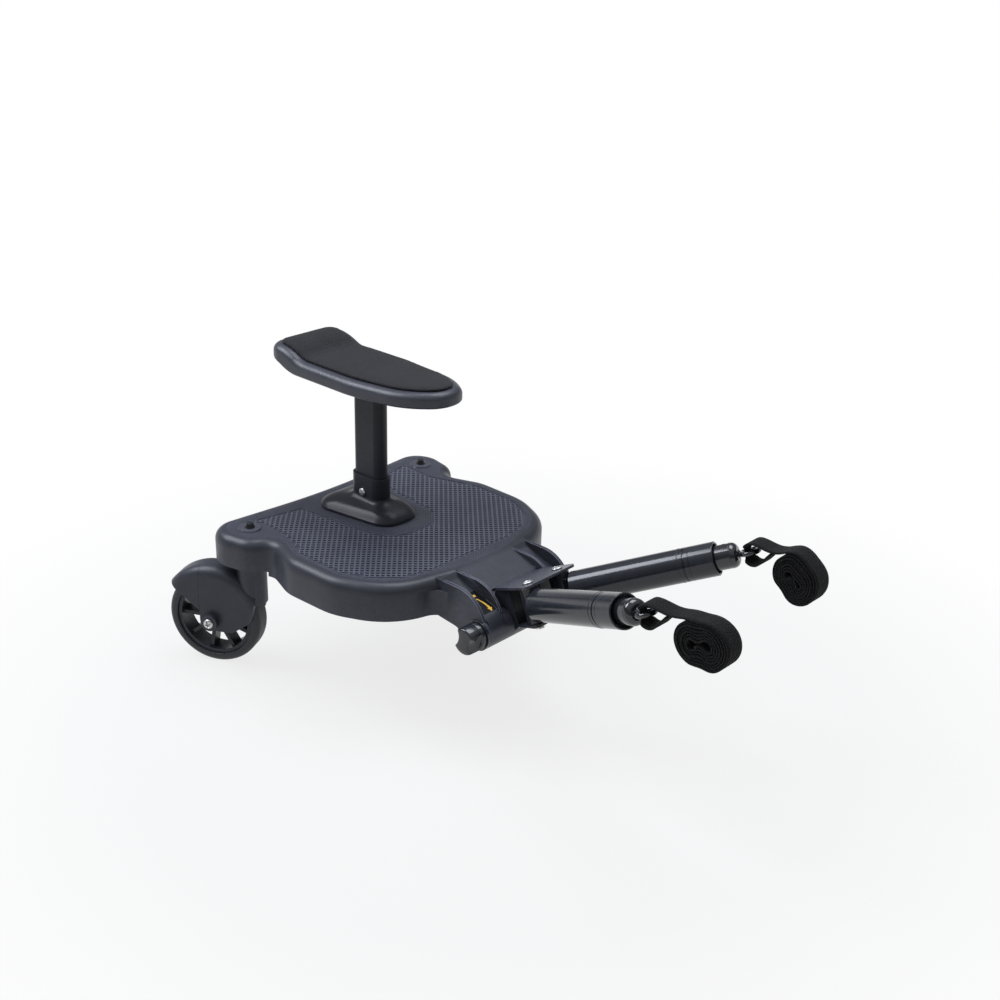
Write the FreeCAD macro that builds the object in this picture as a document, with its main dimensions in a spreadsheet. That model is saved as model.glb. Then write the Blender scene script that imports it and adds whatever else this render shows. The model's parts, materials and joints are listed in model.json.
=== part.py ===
"""Ride-on buggy board with a seat: deck, two swivelling wheels, seat on a post,
hinged bracket and two telescopic arms that end in rolled fixing straps.

Frame: +X points from the deck towards the arms, +Z up, floor at z = 0.
Each piece is drawn about its own axis and then placed. Sizes are in millimetres
and degrees, and all of them come from the sheet.
"""
import FreeCAD, Part
import math
import os

V = FreeCAD.Vector
Rotation = FreeCAD.Rotation
Placement = FreeCAD.Placement

DIMENSIONS = {
    # where the deck's swivel line lies in the part's frame
    "board_x": -287.456,
    # deck
    "caster_span": 300.0,
    "side_out": 24.0,
    "deck_front": 264.0,
    "deck_rear": 32.0,
    "skirt_depth": 46.0,
    "ear_skirt_depth": 40.0,
    "deck_wall": 4.0,
    "deck_edge_radius": 14.0,
    "ear_boss_dia": 46.0,
    "rear_hollow_radius": 900.0,
    "ear_rear": 47.0,
    "ear_rear_out": 22.0,
    "ear_rear_radius": 34.0,
    "ear_middle": 14.0,
    "ear_middle_out": 41.0,
    "ear_middle_radius": 40.0,
    "ear_front": 32.0,
    "ear_front_out": 31.0,
    "ear_front_radius": 30.0,
    "waist_start": 48.0,
    "waist_out": 5.0,
    "waist_radius": 20.0,
    "side_start": 100.0,
    "side_start_radius": 60.0,
    "side_end": 178.0,
    "side_taper": 2.0,
    "side_end_radius": 90.0,
    "shoulder_back": 17.0,
    "shoulder_in": 34.0,
    "under_rib": 3.0,
    "under_rib_depth": 34.0,
    "under_rib_rear": 96.0,
    "under_rib_front": 178.0,
    "field_drop": 0.7,
    "field_inset": 21.0,
    "field_front_radius": 60.0,
    "field_rear": 15.0,
    "field_rear_out": 17.0,
    "field_rear_radius": 3.0,
    "surround_front": 87.0,
    "surround_front_half": 47.0,
    "surround_front_radius": 42.0,
    "surround_rear": 65.0,
    "surround_rear_half": 64.0,
    "surround_rear_radius": 5.0,
    "ear_trim_length": 100.0,
    "ear_trim_width": 140.0,
    "ear_trim_out": 20.0,
    "ear_trim_back": 2.0,
    # casters
    "caster_trail": 50.0,
    "caster_yaw": 27.0,
    "wheel_headroom": 66.0,
    "stem_dia": 38.0,
    "stem_length": 60.0,
    "swivel_gap": 1.0,
    "kingpin_dia": 12.0,
    "kingpin_seat": 40.0,
    "bush_wall": 4.0,
    "washer_dia": 30.7,
    "washer_thickness": 2.2,
    "washer_bevel": 1.5,
    "cap_head_dia": 13.0,
    "cap_head_top": 8.4,
    "cap_head_height": 5.5,
    "cap_thread_dia": 6.0,
    "cap_thread_length": 16.0,
    "fork_half_width": 22.0,
    "fork_cheek": 4.0,
    "fork_boss_dia": 22.0,
    "fork_boss_height": 8.0,
    "hood_wall": 8.0,
    "hood_shoulder": 14.0,
    "hood_seam": 16.0,
    "hood_spare": 10.0,
    "fork_toe_drop": 14.0,
    "fork_toe_radius": 14.0,
    "fork_knee": 28.0,
    "fork_knee_radius": 12.0,
    "fork_shin": 57.0,
    "fork_shin_rise": 7.0,
    "fork_shin_radius": 20.0,
    "fork_chest": 61.0,
    "fork_chest_rise": 40.0,
    "fork_chest_radius": 8.0,
    "cover_angle": 38.0,
    # wheels
    "wheel_dia": 126.0,
    "wheel_width": 32.0,
    "wheel_gap": 3.0,
    "tyre_depth": 12.0,
    "tyre_shoulder": 8.0,
    "tyre_bead_radius": 1.5,
    "rim_wall": 5.0,
    "rim_width": 26.0,
    "hub_dia": 34.0,
    "hub_relief": 2.0,
    "spoke_root": 2.0,
    "spoke_count": 9,
    "spoke_width": 5.0,
    "spoke_depth": 18.0,
    "bearing_dia": 22.0,
    "bearing_width": 7.0,
    "axle_dia": 8.0,
    "axle_head_dia": 13.0,
    "axle_head_height": 3.5,
    "axle_nut_height": 6.0,
    "axle_nut_flats": 13.0,
    # seat, post and socket
    "post_x": 63.0,
    "post_length": 50.0,
    "post_width": 21.0,
    "post_corner": 10.0,
    "post_wall": 3.0,
    "post_insert": 38.0,
    "post_flange_length": 96.0,
    "post_flange_width": 60.0,
    "post_flange_thickness": 5.0,
    "post_flange_radius": 16.0,
    "collar_wall": 3.2,
    "collar_height": 50.0,
    "socket_rear": 65.0,
    "socket_rear_half": 50.0,
    "socket_rear_radius": 28.0,
    "socket_front": 61.0,
    "socket_front_half": 31.0,
    "socket_front_radius": 27.0,
    "socket_screw_rear": 44.0,
    "socket_screw_front": 40.0,
    "socket_screw_side": 22.0,
    "socket_rim_height": 4.0,
    "socket_shoulder": 4.0,
    "socket_shoulder_height": 8.5,
    "socket_dome_share": 0.45,
    "socket_dome_height": 14.0,
    "socket_flare_share": 0.8,
    "socket_flare_height": 17.0,
    "socket_neck_height": 22.0,
    "socket_screw_dia": 5.0,
    "socket_screw_length": 10.0,
    "socket_screw_head": 9.0,
    "lock_screw_dia": 5.0,
    "lock_screw_head": 10.4,
    "lock_screw_head_height": 2.6,
    "lock_screw_height": 28.0,
    "lock_screw_back": 2.0,
    "seat_height": 175.5,
    "seat_thickness": 19.0,
    "seat_half_width": 57.0,
    "seat_front": 146.0,
    "seat_rear": 136.0,
    "seat_rear_radius": 26.0,
    "seat_bulge": 18.0,
    "seat_bulge_out": 1.0,
    "seat_bulge_radius": 150.0,
    "seat_cheek_back": 40.0,
    "seat_cheek_in": 9.5,
    "seat_cheek_radius": 110.0,
    "seat_nose_in": 39.0,
    "seat_nose_radius": 33.0,
    "seat_rise_start": 63.0,
    "seat_rise_radius": 66.0,
    "seat_rise_angle": 25.6,
    "seat_under_lag": 14.0,
    "seat_bow_start": 20.0,
    "seat_bow_radius": 1500.0,
    "seat_bow_angle": 6.0,
    "seat_spare": 10.0,
    "seat_top_round": 9.5,
    "seat_under_round": 4.0,
    "pad_thickness": 3.5,
    "pad_inset": 11.5,
    "seat_screw_dia": 5.0,
    "seat_screw_length": 12.0,
    "seat_screw_head": 9.0,
    "seat_screw_along": 38.0,
    "seat_screw_side": 20.0,
    "screw_head_height": 3.0,
    # hinge
    "hinge_x": 329.0,
    "hinge_drop": 50.0,
    "knuckle_radius": 19.0,
    "cheek_outer": 78.0,
    "cheek_wall": 5.0,
    "cheek_inner_rib": 46.5,
    "rib_thickness": 3.0,
    "knuckle_inner": 36.0,
    "rib_root": 8.0,
    "rib_top_drop": 1.5,
    "rib_arch_radius": 44.0,
    "rib_front": 9.0,
    "inner_rib_back": 8.0,
    "neck_corner_radius": 22.0,
    "rib_belly_back": 35.0,
    "rib_belly_drop": 3.0,
    "rib_belly_radius": 14.0,
    "rib_heel_back": 17.0,
    "rib_heel_drop": 16.0,
    "rib_heel_radius": 10.0,
    "rib_toe_drop": 14.0,
    "rib_toe_radius": 6.0,
    "neck_lip_back": 18.0,
    "neck_lip_drop": 12.0,
    "neck_floor_bend": 19.0,
    "neck_floor_bend_drop": 17.0,
    "neck_floor_front": 4.0,
    "neck_floor_drop": 31.0,
    "neck_floor_thickness": 5.0,
    "hinge_bolt_dia": 10.0,
    "hinge_nut_flats": 17.0,
    "hinge_nut_height": 8.0,
    "knob_washer_thickness": 2.6,
    "knob_dia": 34.0,
    "knob_base": 10.0,
    "knob_bar_length": 29.0,
    "knob_bar_width": 14.0,
    "knob_bar_height": 13.0,
    "knob_bar_sink": 2.0,
    "bolt_tip": 1.0,
    "knob_angle": 45.0,
    # bracket
    "arm_pitch": 24.0,
    "bracket_half_width": 34.0,
    "bracket_front_half_width": 46.0,
    "bracket_start": 1.0,
    "bracket_length": 64.0,
    "bracket_rear_radius": 2.0,
    "bracket_front_radius": 6.0,
    "bracket_back": 17.0,
    "bracket_back_top": 8.0,
    "bracket_back_low": 4.0,
    "bracket_belly": 18.0,
    "bracket_bend": 6.0,
    "bracket_block_length": 23.0,
    "plate_thickness": 3.0,
    "plate_height": 39.5,
    "floor_drop": 4.5,
    "arm_axis_height": 16.3,
    "pivot_x": 50.0,
    "pivot_y": 26.0,
    "pivot_dia": 7.0,
    "pivot_head_dia": 11.0,
    "pivot_head_height": 2.6,
    "pivot_nut_flats": 11.0,
    "pivot_nut_height": 5.0,
    "friction_disc": 1.7,
    # arms
    "arm_yaw_right": 15.3,
    "arm_yaw_left": 24.0,
    "tube_dia": 40.0,
    "tube_wall": 3.0,
    "tube_start": 15.0,
    "tube_end": 162.5,
    "tube_groove": 1.2,
    "tube_groove_width": 2.0,
    "tube_groove_back": 7.0,
    "tube_plug": 4.0,
    "lug_neck_height": 28.0,
    "lug_neck_over": 2.0,
    "lug_dia": 26.0,
    "lug_width": 22.0,
    "collar_end": 191.0,
    "collar_mouth_wall": 2.6,
    "collar_mouth_depth": 8.0,
    "rod_dia": 29.4,
    "rod_tail": 62.0,
    "rod_end": 217.5,
    "rod_bore": 20.0,
    "rod_dome_radius": 7.5,
    "rod_head_length": 8.0,
    "rod_end_wall": 10.0,
    "rod_hole_depth": 6.0,
    "rod_hole_dia": 4.0,
    "rod_hole_x": 202.5,
    "eye_x": 230.5,
    "eye_radius": 10.0,
    "eye_wire_dia": 6.0,
    "eye_neck_over": 0.5,
    "eye_neck_dia": 11.0,
    "eye_neck_tip": 4.0,
    # straps
    "strap_width": 24.0,
    "strap_neck_width": 7.5,
    "strap_neck_end": 0.0,
    "strap_neck_radius": 10.0,
    "strap_wide_start": 19.0,
    "strap_spare": 400.0,
    "strap_thickness": 2.2,
    "strap_pitch": 2.95,
    "strap_turns": 7,
    "strap_core_radius_right": 4.8,
    "strap_core_radius_left": 2.6,
    "strap_core_length_right": 17.0,
    "strap_core_length_left": 15.0,
    "strap_loop_radius": 13.0,
    "strap_loop_x": 9.0,
    "strap_loop_z": 2.5,
    "strap_under_angle": 38.0,
    "strap_run_right": 57.0,
    "strap_run_left": 49.0,
    "strap_rise_right": 5.0,
    "strap_rise_left": 4.0,
    "strap_tilt_right": 0.0,
    "strap_tilt_left": 45.0,
    # fits
    "running_clearance": 0.05,
    "sliding_clearance": 0.10,
    "free_clearance": 0.30,
    # how far a cutting tool runs past the face it leaves
    "cut_over": 10.0,
}

doc = FreeCAD.newDocument("buggy_board")
sheet = doc.addObject("Spreadsheet::Sheet", "dims")
for row, (alias, value) in enumerate(DIMENSIONS.items(), start=1):
    sheet.set("A%d" % row, alias)
    sheet.set("B%d" % row, str(value))
    sheet.setAlias("B%d" % row, alias)
doc.recompute()

PARTS = []


def dim(alias):
    """Value of a sheet cell."""
    return float(sheet.get(alias))


def keep(obj, label, placement=None):
    """Names an object as a piece of the board and puts it in its place."""
    obj.Label = label
    if placement is not None:
        obj.Placement = placement
    PARTS.append(obj)
    return obj


def bind(obj, **expressions):
    """Ties properties of an object to the sheet."""
    for prop, expression in expressions.items():
        obj.setExpression(prop, expression)
    return obj


def move(x=0.0, y=0.0, z=0.0, axis=V(0, 0, 1), angle=0.0):
    return Placement(V(x, y, z), Rotation(axis, angle))


def towards(point, direction):
    """Placement whose Z axis starts at a point and runs in a direction."""
    return Placement(V(*point), Rotation(V(0, 0, 1), V(*direction)))


# Solids made from primitives and sketches

def cylinder(name, radius, height, point=(0, 0, 0), direction=(0, 0, 1)):
    obj = doc.addObject("Part::Cylinder", name)
    bind(obj, Radius=radius, Height=height)
    obj.Placement = towards(point, direction)
    return obj


def hole(name, radius, depth, point=(0, 0, 0), direction=(0, 0, 1)):
    """Cutting cylinder that runs past both ends of a depth."""
    start = V(*point) - V(*direction) * dim("cut_over")
    return cylinder(name, radius, depth + " + 2 * dims.cut_over", tuple(start), direction)


def cone(name, radius1, radius2, height, point=(0, 0, 0), direction=(0, 0, 1)):
    obj = doc.addObject("Part::Cone", name)
    bind(obj, Radius1=radius1, Radius2=radius2, Height=height)
    obj.Placement = towards(point, direction)
    return obj


def box(name, length, width, height, centre, placement=None):
    """Box of bound sizes about a centre point."""
    obj = doc.addObject("Part::Box", name)
    bind(obj, Length=length, Width=width, Height=height)
    doc.recompute()
    half = V(obj.Length.Value, obj.Width.Value, obj.Height.Value) * 0.5
    obj.Placement = (placement or Placement()) * Placement(V(*centre) - half, Rotation())
    return obj


def hexagon(name, flats, height, point, direction):
    obj = doc.addObject("Part::Prism", name)
    obj.Polygon = 6
    bind(obj, Circumradius=flats + " / 2 / cos(30 deg)", Height=height)
    obj.Placement = towards(point, direction)
    return obj


def fuse(name, pieces):
    obj = doc.addObject("Part::MultiFuse", name)
    obj.Shapes = pieces
    return obj


def cut(name, base, tools):
    obj = doc.addObject("Part::Cut", name)
    obj.Base = base
    obj.Tool = tools[0] if len(tools) == 1 else fuse(name + "_tools", tools)
    return obj


def common(name, first, second):
    obj = doc.addObject("Part::MultiCommon", name)
    obj.Shapes = [first, second]
    return obj


def new_body(name):
    return doc.addObject("PartDesign::Body", name)


def new_sketch(body, role, edges, offset=0.0):
    """Sketch on one of the body's own origin planes."""
    plane = next(f for f in body.Origin.OriginFeatures if f.Role == role)
    sketch = body.newObject("Sketcher::SketchObject", body.Name + "_sketch")
    sketch.AttachmentSupport = [(plane, "")]
    sketch.MapMode = "FlatFace"
    sketch.AttachmentOffset = move(z=offset)
    for edge in edges:
        sketch.addGeometry(edge)
    return sketch


def new_pad(body, sketch, length, symmetric=False, reverse=False):
    pad = body.newObject("PartDesign::Pad", body.Name + "_pad")
    pad.Profile = sketch
    pad.setExpression("Length", length)
    pad.SideType = "Symmetric" if symmetric else "One side"
    pad.Reversed = reverse
    return pad


def prism(name, role, edges, length, offset=0.0, symmetric=False, reverse=False):
    """Body with one outline padded by a bound length."""
    body = new_body(name)
    new_pad(body, new_sketch(body, role, edges, offset), length, symmetric, reverse)
    return body


def turned(name, edges):
    """Body turned about Z from an outline of radius and height."""
    body = new_body(name)
    sketch = new_sketch(body, "XZ_Plane", edges)
    feature = body.newObject("PartDesign::Revolution", name + "_turn")
    feature.Profile = sketch
    feature.ReferenceAxis = (sketch, ["V_Axis"])
    feature.Angle = 360
    return body


# Outlines

def rounded(corners):
    """Closed outline through corners (x, y, radius), as lines and tangent arcs."""
    edges = []
    count = len(corners)
    spans = []
    for i, (x, y, radius) in enumerate(corners):
        here = V(x, y, 0)
        before = (V(*corners[i - 1][:2], 0) - here).normalize()
        after = (V(*corners[(i + 1) % count][:2], 0) - here).normalize()
        half = before.getAngle(after) / 2
        reach = radius / math.tan(half)
        start, end = here + before * reach, here + after * reach
        spans.append((start, end))
        if radius > 0:
            middle = (before + after).normalize()
            centre = here + middle * (radius / math.sin(half))
            edges.append(Part.ArcOfCircle(start, centre - middle * radius, end))
    for i in range(count):
        start, end = spans[i - 1][1], spans[i][0]
        if (end - start).Length > 1e-6:
            edges.append(Part.LineSegment(start, end))
    return edges


def inset(corners, wall):
    """Corners of a counter-clockwise outline moved inwards by a wall."""
    moved = []
    count = len(corners)
    for i, (x, y, radius) in enumerate(corners):
        here = V(x, y, 0)
        first = (here - V(*corners[i - 1][:2], 0)).normalize()
        second = (V(*corners[(i + 1) % count][:2], 0) - here).normalize()
        turn = first.cross(second).z
        left = V(-first.y, first.x, 0) + V(-second.y, second.x, 0)
        shift = left * (wall / (1 + first.dot(second)))
        new_radius = radius - wall if turn > 0 else radius + wall
        moved.append((x + shift.x, y + shift.y, max(new_radius, 0.0) if radius else 0.0))
    return moved


def mirrored(half):
    """Counter-clockwise corners from the half outline at y below zero."""
    return half + [(x, -y, radius) for x, y, radius in reversed(half) if y]


# Places of the main groups

axle_drop = dim("wheel_dia") / 2 + dim("wheel_headroom")
deck_height = axle_drop + dim("wheel_dia") / 2
BOARD = move(dim("board_x"), 0, deck_height)
HINGE = BOARD * move(dim("hinge_x"), 0, -dim("hinge_drop"))
BRACKET = HINGE * move(axis=V(0, 1, 0), angle=-dim("arm_pitch"))
SIDES = {"right": -1, "left": 1}


def caster_place(side):
    yaw = -SIDES[side] * dim("caster_yaw")
    return BOARD * move(y=SIDES[side] * dim("caster_span") / 2, angle=yaw)


def wheel_place(side):
    """Wheel frame, with Z along the axle and pointing away from the deck."""
    across = Rotation(V(1, 0, 0), -SIDES[side] * 90)
    return caster_place(side) * Placement(V(-dim("caster_trail"), 0, -axle_drop), across)


def arm_place(side):
    yaw = SIDES[side] * dim("arm_yaw_" + side)
    pivot = move(dim("pivot_x"), SIDES[side] * dim("pivot_y"), dim("arm_axis_height"))
    return BRACKET * pivot * move(angle=yaw)


# Deck

def deck_corners():
    """Plan of the deck, with an ear over each caster and a waist before the broad sides."""
    ear = dim("caster_span") / 2
    side = ear + dim("side_out")
    front = dim("deck_front")
    half = [(-dim("deck_rear"), 0, dim("rear_hollow_radius")),
            (-dim("ear_rear"), -ear - dim("ear_rear_out"), dim("ear_rear_radius")),
            (-dim("ear_middle"), -ear - dim("ear_middle_out"), dim("ear_middle_radius")),
            (dim("ear_front"), -ear - dim("ear_front_out"), dim("ear_front_radius")),
            (dim("waist_start"), -ear - dim("waist_out"), dim("waist_radius")),
            (dim("side_start"), -side, dim("side_start_radius")),
            (dim("side_end"), -side + dim("side_taper"), dim("side_end_radius")),
            (front - dim("shoulder_back"), -side + dim("shoulder_in"), dim("side_end_radius")),
            (front, -dim("cheek_outer"), 0)]
    return mirrored(half)


def outer_rib_profile():
    """Side view of an outer hinge rib, its arched top running down to a front past the hinge."""
    x, z = dim("hinge_x"), -dim("hinge_drop")
    root, top, toe = dim("deck_front") - dim("rib_root"), -dim("rib_top_drop"), x + dim("rib_front")
    return rounded([(root, top, 0), (root, -dim("skirt_depth") - dim("rib_belly_drop"), 0),
                    (x - dim("rib_belly_back"), z - dim("rib_belly_drop"), dim("rib_belly_radius")),
                    (x - dim("rib_heel_back"), z - dim("rib_heel_drop"), dim("rib_heel_radius")),
                    (toe, z - dim("rib_toe_drop"), dim("rib_toe_radius")),
                    (toe, top, dim("rib_arch_radius"))])


def inner_rib_profile():
    """Side view of an inner hinge rib, which runs down into the rear of the knuckle."""
    x, z = dim("hinge_x"), -dim("hinge_drop")
    root, top, toe = dim("deck_front") - dim("rib_root"), -dim("rib_top_drop"), x - dim("inner_rib_back")
    return rounded([(root, top, 0), (root, -dim("skirt_depth") - dim("rib_belly_drop"), 0),
                    (x - dim("rib_belly_back"), z - dim("rib_belly_drop"), dim("rib_belly_radius")),
                    (toe, z - dim("rib_toe_drop"), 0), (toe, top, dim("rib_arch_radius"))])


def neck_slope():
    """Side view of the sloping apron between the inner ribs, ending in the bracket's upper stop."""
    front, wall = dim("deck_front"), dim("deck_wall")
    lip, drop = dim("hinge_x") - dim("neck_lip_back"), dim("neck_lip_drop")
    root = front - dim("rib_root")
    return rounded([(root, 0, 0), (root, -wall, 0), (front, -wall, 0), (lip, -drop - wall, 0),
                    (lip, -drop, 0), (front, 0, 0)])


def neck_floor():
    """Side view of the sunken floor between an outer and an inner rib."""
    front, thick = dim("deck_front"), dim("neck_floor_thickness")
    root, top = front - dim("rib_root"), -dim("rib_top_drop")
    bend, bend_drop = front + dim("neck_floor_bend"), dim("neck_floor_bend_drop")
    end, end_drop = dim("hinge_x") + dim("neck_floor_front"), dim("neck_floor_drop")
    return rounded([(root, top, 0), (root, top - thick, 0), (bend, -bend_drop - thick, 0),
                    (end, -end_drop - thick, 0), (end, -end_drop, 0), (bend, -bend_drop, 0),
                    (front, top, 0)])


def neck_corner(sign):
    """Plan of the hollow rounding between the deck's shoulder and an outer hinge rib."""
    front, side = dim("deck_front"), dim("cheek_outer")
    corner = V(front, sign * side, 0)
    half_width = dim("caster_span") / 2 + dim("side_out")
    shoulder = V(front - dim("shoulder_back"), sign * (half_width - dim("shoulder_in")), 0)
    along = (shoulder - corner).normalize()
    ahead = V(1, 0, 0)
    half = along.getAngle(ahead) / 2
    reach = dim("neck_corner_radius") / math.tan(half)
    middle = (along + ahead).normalize()
    centre = corner + middle * (dim("neck_corner_radius") / math.sin(half))
    start, end = corner + along * reach, corner + ahead * reach
    return [Part.ArcOfCircle(start, centre - middle * dim("neck_corner_radius"), end),
            Part.LineSegment(end, corner), Part.LineSegment(corner, start)]


def field_corners():
    """Plan of the sunken studded field: inside the deck's border and around the seat socket's surround."""
    ear, post = dim("caster_span") / 2, dim("post_x")
    border = inset(deck_corners(), dim("field_inset"))
    waist = next(i for i, corner in enumerate(deck_corners()) if corner[0] == dim("waist_start"))
    sides = border[waist:waist + 4]
    front = border[waist + 4][:2] + (dim("field_front_radius"),)
    half = [(post + dim("surround_front"), -dim("surround_front_half"), dim("surround_front_radius")),
            (post - dim("surround_rear"), -dim("surround_rear_half"), dim("surround_rear_radius")),
            (-dim("field_rear"), -ear + dim("field_rear_out"), dim("field_rear_radius"))]
    return mirrored(half + sides + [front])


def socket_corners():
    """Plan of the seat socket's foot, broad at the rear and narrow at the front."""
    return [(-dim("socket_rear"), dim("socket_rear_half"), dim("socket_rear_radius")),
            (-dim("socket_rear"), -dim("socket_rear_half"), dim("socket_rear_radius")),
            (dim("socket_front"), -dim("socket_front_half"), dim("socket_front_radius")),
            (dim("socket_front"), dim("socket_front_half"), dim("socket_front_radius"))]


def socket_screw_spots():
    side = dim("socket_screw_side")
    ends = (-dim("socket_screw_rear"), dim("socket_screw_front"))
    return [(x, y) for x in ends for y in (-side, side)]


def rounded_block(name, corners, top, length, radius):
    """Block under a plan, with its upper edge rounded everywhere but along the straight front."""
    body = new_body(name)
    pad = new_pad(body, new_sketch(body, "XY_Plane", rounded(corners), top), length, reverse=True)
    doc.recompute()
    front = max(x for x, _, _ in corners)
    rim = []
    for number, edge in enumerate(pad.Shape.Edges, start=1):
        on_top = all(abs(vertex.Z - top) < 1e-6 for vertex in edge.Vertexes)
        at_front = all(abs(vertex.X - front) < 1e-6 for vertex in edge.Vertexes)
        if on_top and not at_front:
            rim.append("Edge%d" % number)
    fillet = body.newObject("PartDesign::Fillet", name + "_edge")
    fillet.Base = (pad, rim)
    fillet.setExpression("Radius", radius)
    doc.recompute()
    return body


def make_deck():
    """Board with its rolled edge, ribbed underside, ears for the casters and neck for the hinge."""
    ear = dim("caster_span") / 2
    front, wall, rear = dim("deck_front"), dim("deck_wall"), dim("deck_rear")
    x, drop, skirt = dim("hinge_x"), dim("hinge_drop"), dim("ear_skirt_depth")
    outer, inner, knuckle = dim("cheek_outer"), dim("cheek_inner_rib"), dim("knuckle_inner")
    rib_middle = -wall / 2 - dim("under_rib_depth") / 2
    block = rounded_block("board_block", deck_corners(), 0, "dims.skirt_depth", "dims.deck_edge_radius")
    hollow = rounded_block("board_hollow", inset(deck_corners(), wall), -wall, "dims.skirt_depth",
                           "dims.deck_edge_radius - dims.deck_wall")
    ribs = []
    for alias in ("under_rib_rear", "under_rib_front"):
        ribs.append(box(alias, "dims.under_rib", "dims.caster_span + 2 * dims.side_out",
                        "dims.under_rib_depth",
                        (dim(alias), 0, rib_middle)))
    for side, sign in SIDES.items():
        ribs.append(box("long_rib_" + side, "dims.deck_front + dims.deck_rear - 2 * dims.deck_wall",
                        "dims.under_rib", "dims.under_rib_depth",
                        ((front - rear) / 2, sign * inner, rib_middle)))
    pieces = [cut("board_shell", block, [hollow]),
              common("board_ribs", fuse("rib_lattice", ribs), block),
              prism("neck_slope", "XZ_Plane", neck_slope(),
                    "2 * dims.cheek_inner_rib + dims.rib_thickness", symmetric=True)]
    tools = [hole("hinge_bore", "dims.hinge_bolt_dia / 2 + dims.sliding_clearance",
                  "2 * dims.cheek_outer",
                  (x, -outer, -drop), (0, 1, 0)),
             hexagon("hinge_nut_pocket", "dims.hinge_nut_flats",
                     "dims.hinge_nut_height + dims.cut_over",
                     (x, outer - dim("hinge_nut_height"), -drop), (0, 1, 0)),
             prism("field_recess", "XY_Plane", rounded(field_corners()),
                   "dims.field_drop + dims.cut_over",
                   offset=-dim("field_drop"))]
    for side, sign in SIDES.items():
        pieces.append(cylinder("ear_boss_" + side, "dims.ear_boss_dia / 2",
                               "dims.ear_skirt_depth - dims.deck_wall / 2", (0, sign * ear, -skirt)))
        pieces.append(prism("outer_rib_" + side, "XZ_Plane", outer_rib_profile(),
                            "dims.cheek_wall", offset=-sign * (outer - dim("cheek_wall") / 2),
                            symmetric=True))
        pieces.append(prism("inner_rib_" + side, "XZ_Plane", inner_rib_profile(),
                            "dims.rib_thickness", offset=-sign * (inner + dim("rib_thickness") / 2),
                            symmetric=True))
        pieces.append(prism("neck_floor_" + side, "XZ_Plane", neck_floor(),
                            "dims.cheek_outer - dims.cheek_inner_rib - dims.rib_thickness / 2",
                            offset=-sign * (outer + inner) / 2, symmetric=True))
        pieces.append(prism("neck_corner_" + side, "XY_Plane", neck_corner(sign),
                            "dims.skirt_depth - dims.deck_edge_radius", offset=-dim("skirt_depth")))
        pieces.append(cylinder("knuckle_" + side, "dims.knuckle_radius",
                               "dims.cheek_outer - dims.knuckle_inner",
                               (x, sign * knuckle, -drop), (0, sign, 0)))
        tools.append(box("ear_trim_" + side, "dims.ear_trim_length", "dims.ear_trim_width",
                         "2 * dims.cut_over",
                         (-dim("ear_trim_back"), sign * (ear + dim("ear_trim_out")),
                          -skirt - dim("cut_over"))))
        tools.append(hole("ear_bore_" + side,
                          "dims.kingpin_dia / 2 + dims.running_clearance + dims.bush_wall",
                          "dims.ear_skirt_depth", (0, sign * ear, -skirt)))
    for number, (along, across) in enumerate(socket_screw_spots()):
        tools.append(hole("socket_hole_%d" % number, "dims.socket_screw_dia / 2", "dims.deck_wall",
                          (dim("post_x") + along, across, -wall)))
    keep(cut("deck_shell", fuse("deck_solid", pieces), tools), "deck_shell", BOARD)


# Casters

def wheel_room():
    """Space that the wheel turns in, about its own axle."""
    radius = dim("wheel_dia") / 2 + dim("wheel_gap")
    half = dim("fork_half_width") - dim("fork_cheek")
    return rounded([(0, -half, 0), (radius, -half, dim("tyre_shoulder")),
                    (radius, half, dim("tyre_shoulder")),
                    (0, half, 0)])


def hood_radius():
    return dim("wheel_dia") / 2 + dim("wheel_gap") + dim("hood_wall")


def hood_outline():
    radius, half, shoulder = hood_radius(), dim("fork_half_width"), dim("hood_shoulder")
    return rounded([(0, -half, 0), (radius, -half, shoulder), (radius, half, shoulder), (0, half, 0)])


def hood_shell(name, side_view):
    """Hollow round hood over the wheel, kept where a side view allows, in the wheel's frame."""
    ring = cut(name + "_ring", turned(name + "_hood", hood_outline()),
               [turned(name + "_room", wheel_room())])
    slab = prism(name + "_slab", "XY_Plane", side_view, "4 * dims.fork_half_width", symmetric=True)
    return common(name + "_sector", ring, slab)


def fork_side_view(sign):
    """Cheek from the hood's seam to the stem, seen along the axle."""
    seam, reach = -dim("hood_seam"), hood_radius() + dim("hood_spare")
    lower = [(seam, 0, 0), (seam, -dim("fork_toe_drop"), dim("fork_toe_radius")),
             (dim("fork_knee"), -dim("fork_toe_drop"), dim("fork_knee_radius")),
             (dim("fork_shin"), dim("fork_shin_rise"), dim("fork_shin_radius")),
             (dim("fork_chest"), dim("fork_chest_rise"), dim("fork_chest_radius")),
             (dim("fork_shin"), reach, 0), (seam, reach, 0)]
    return rounded([(x, -sign * y, radius) for x, y, radius in lower])


def cover_side_view(sign):
    """Rear part of the hood, behind the seam and above a straight lower edge."""
    seam, reach = -dim("hood_seam") - dim("free_clearance"), hood_radius() + dim("hood_spare")
    slope = math.tan(math.radians(dim("cover_angle")))
    lower = [(seam, -seam * slope, 0), (seam, reach, 0), (-reach, reach, 0), (-reach, reach * slope, 0)]
    return rounded([(x, -sign * y, 0) for x, y, radius in lower])


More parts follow.
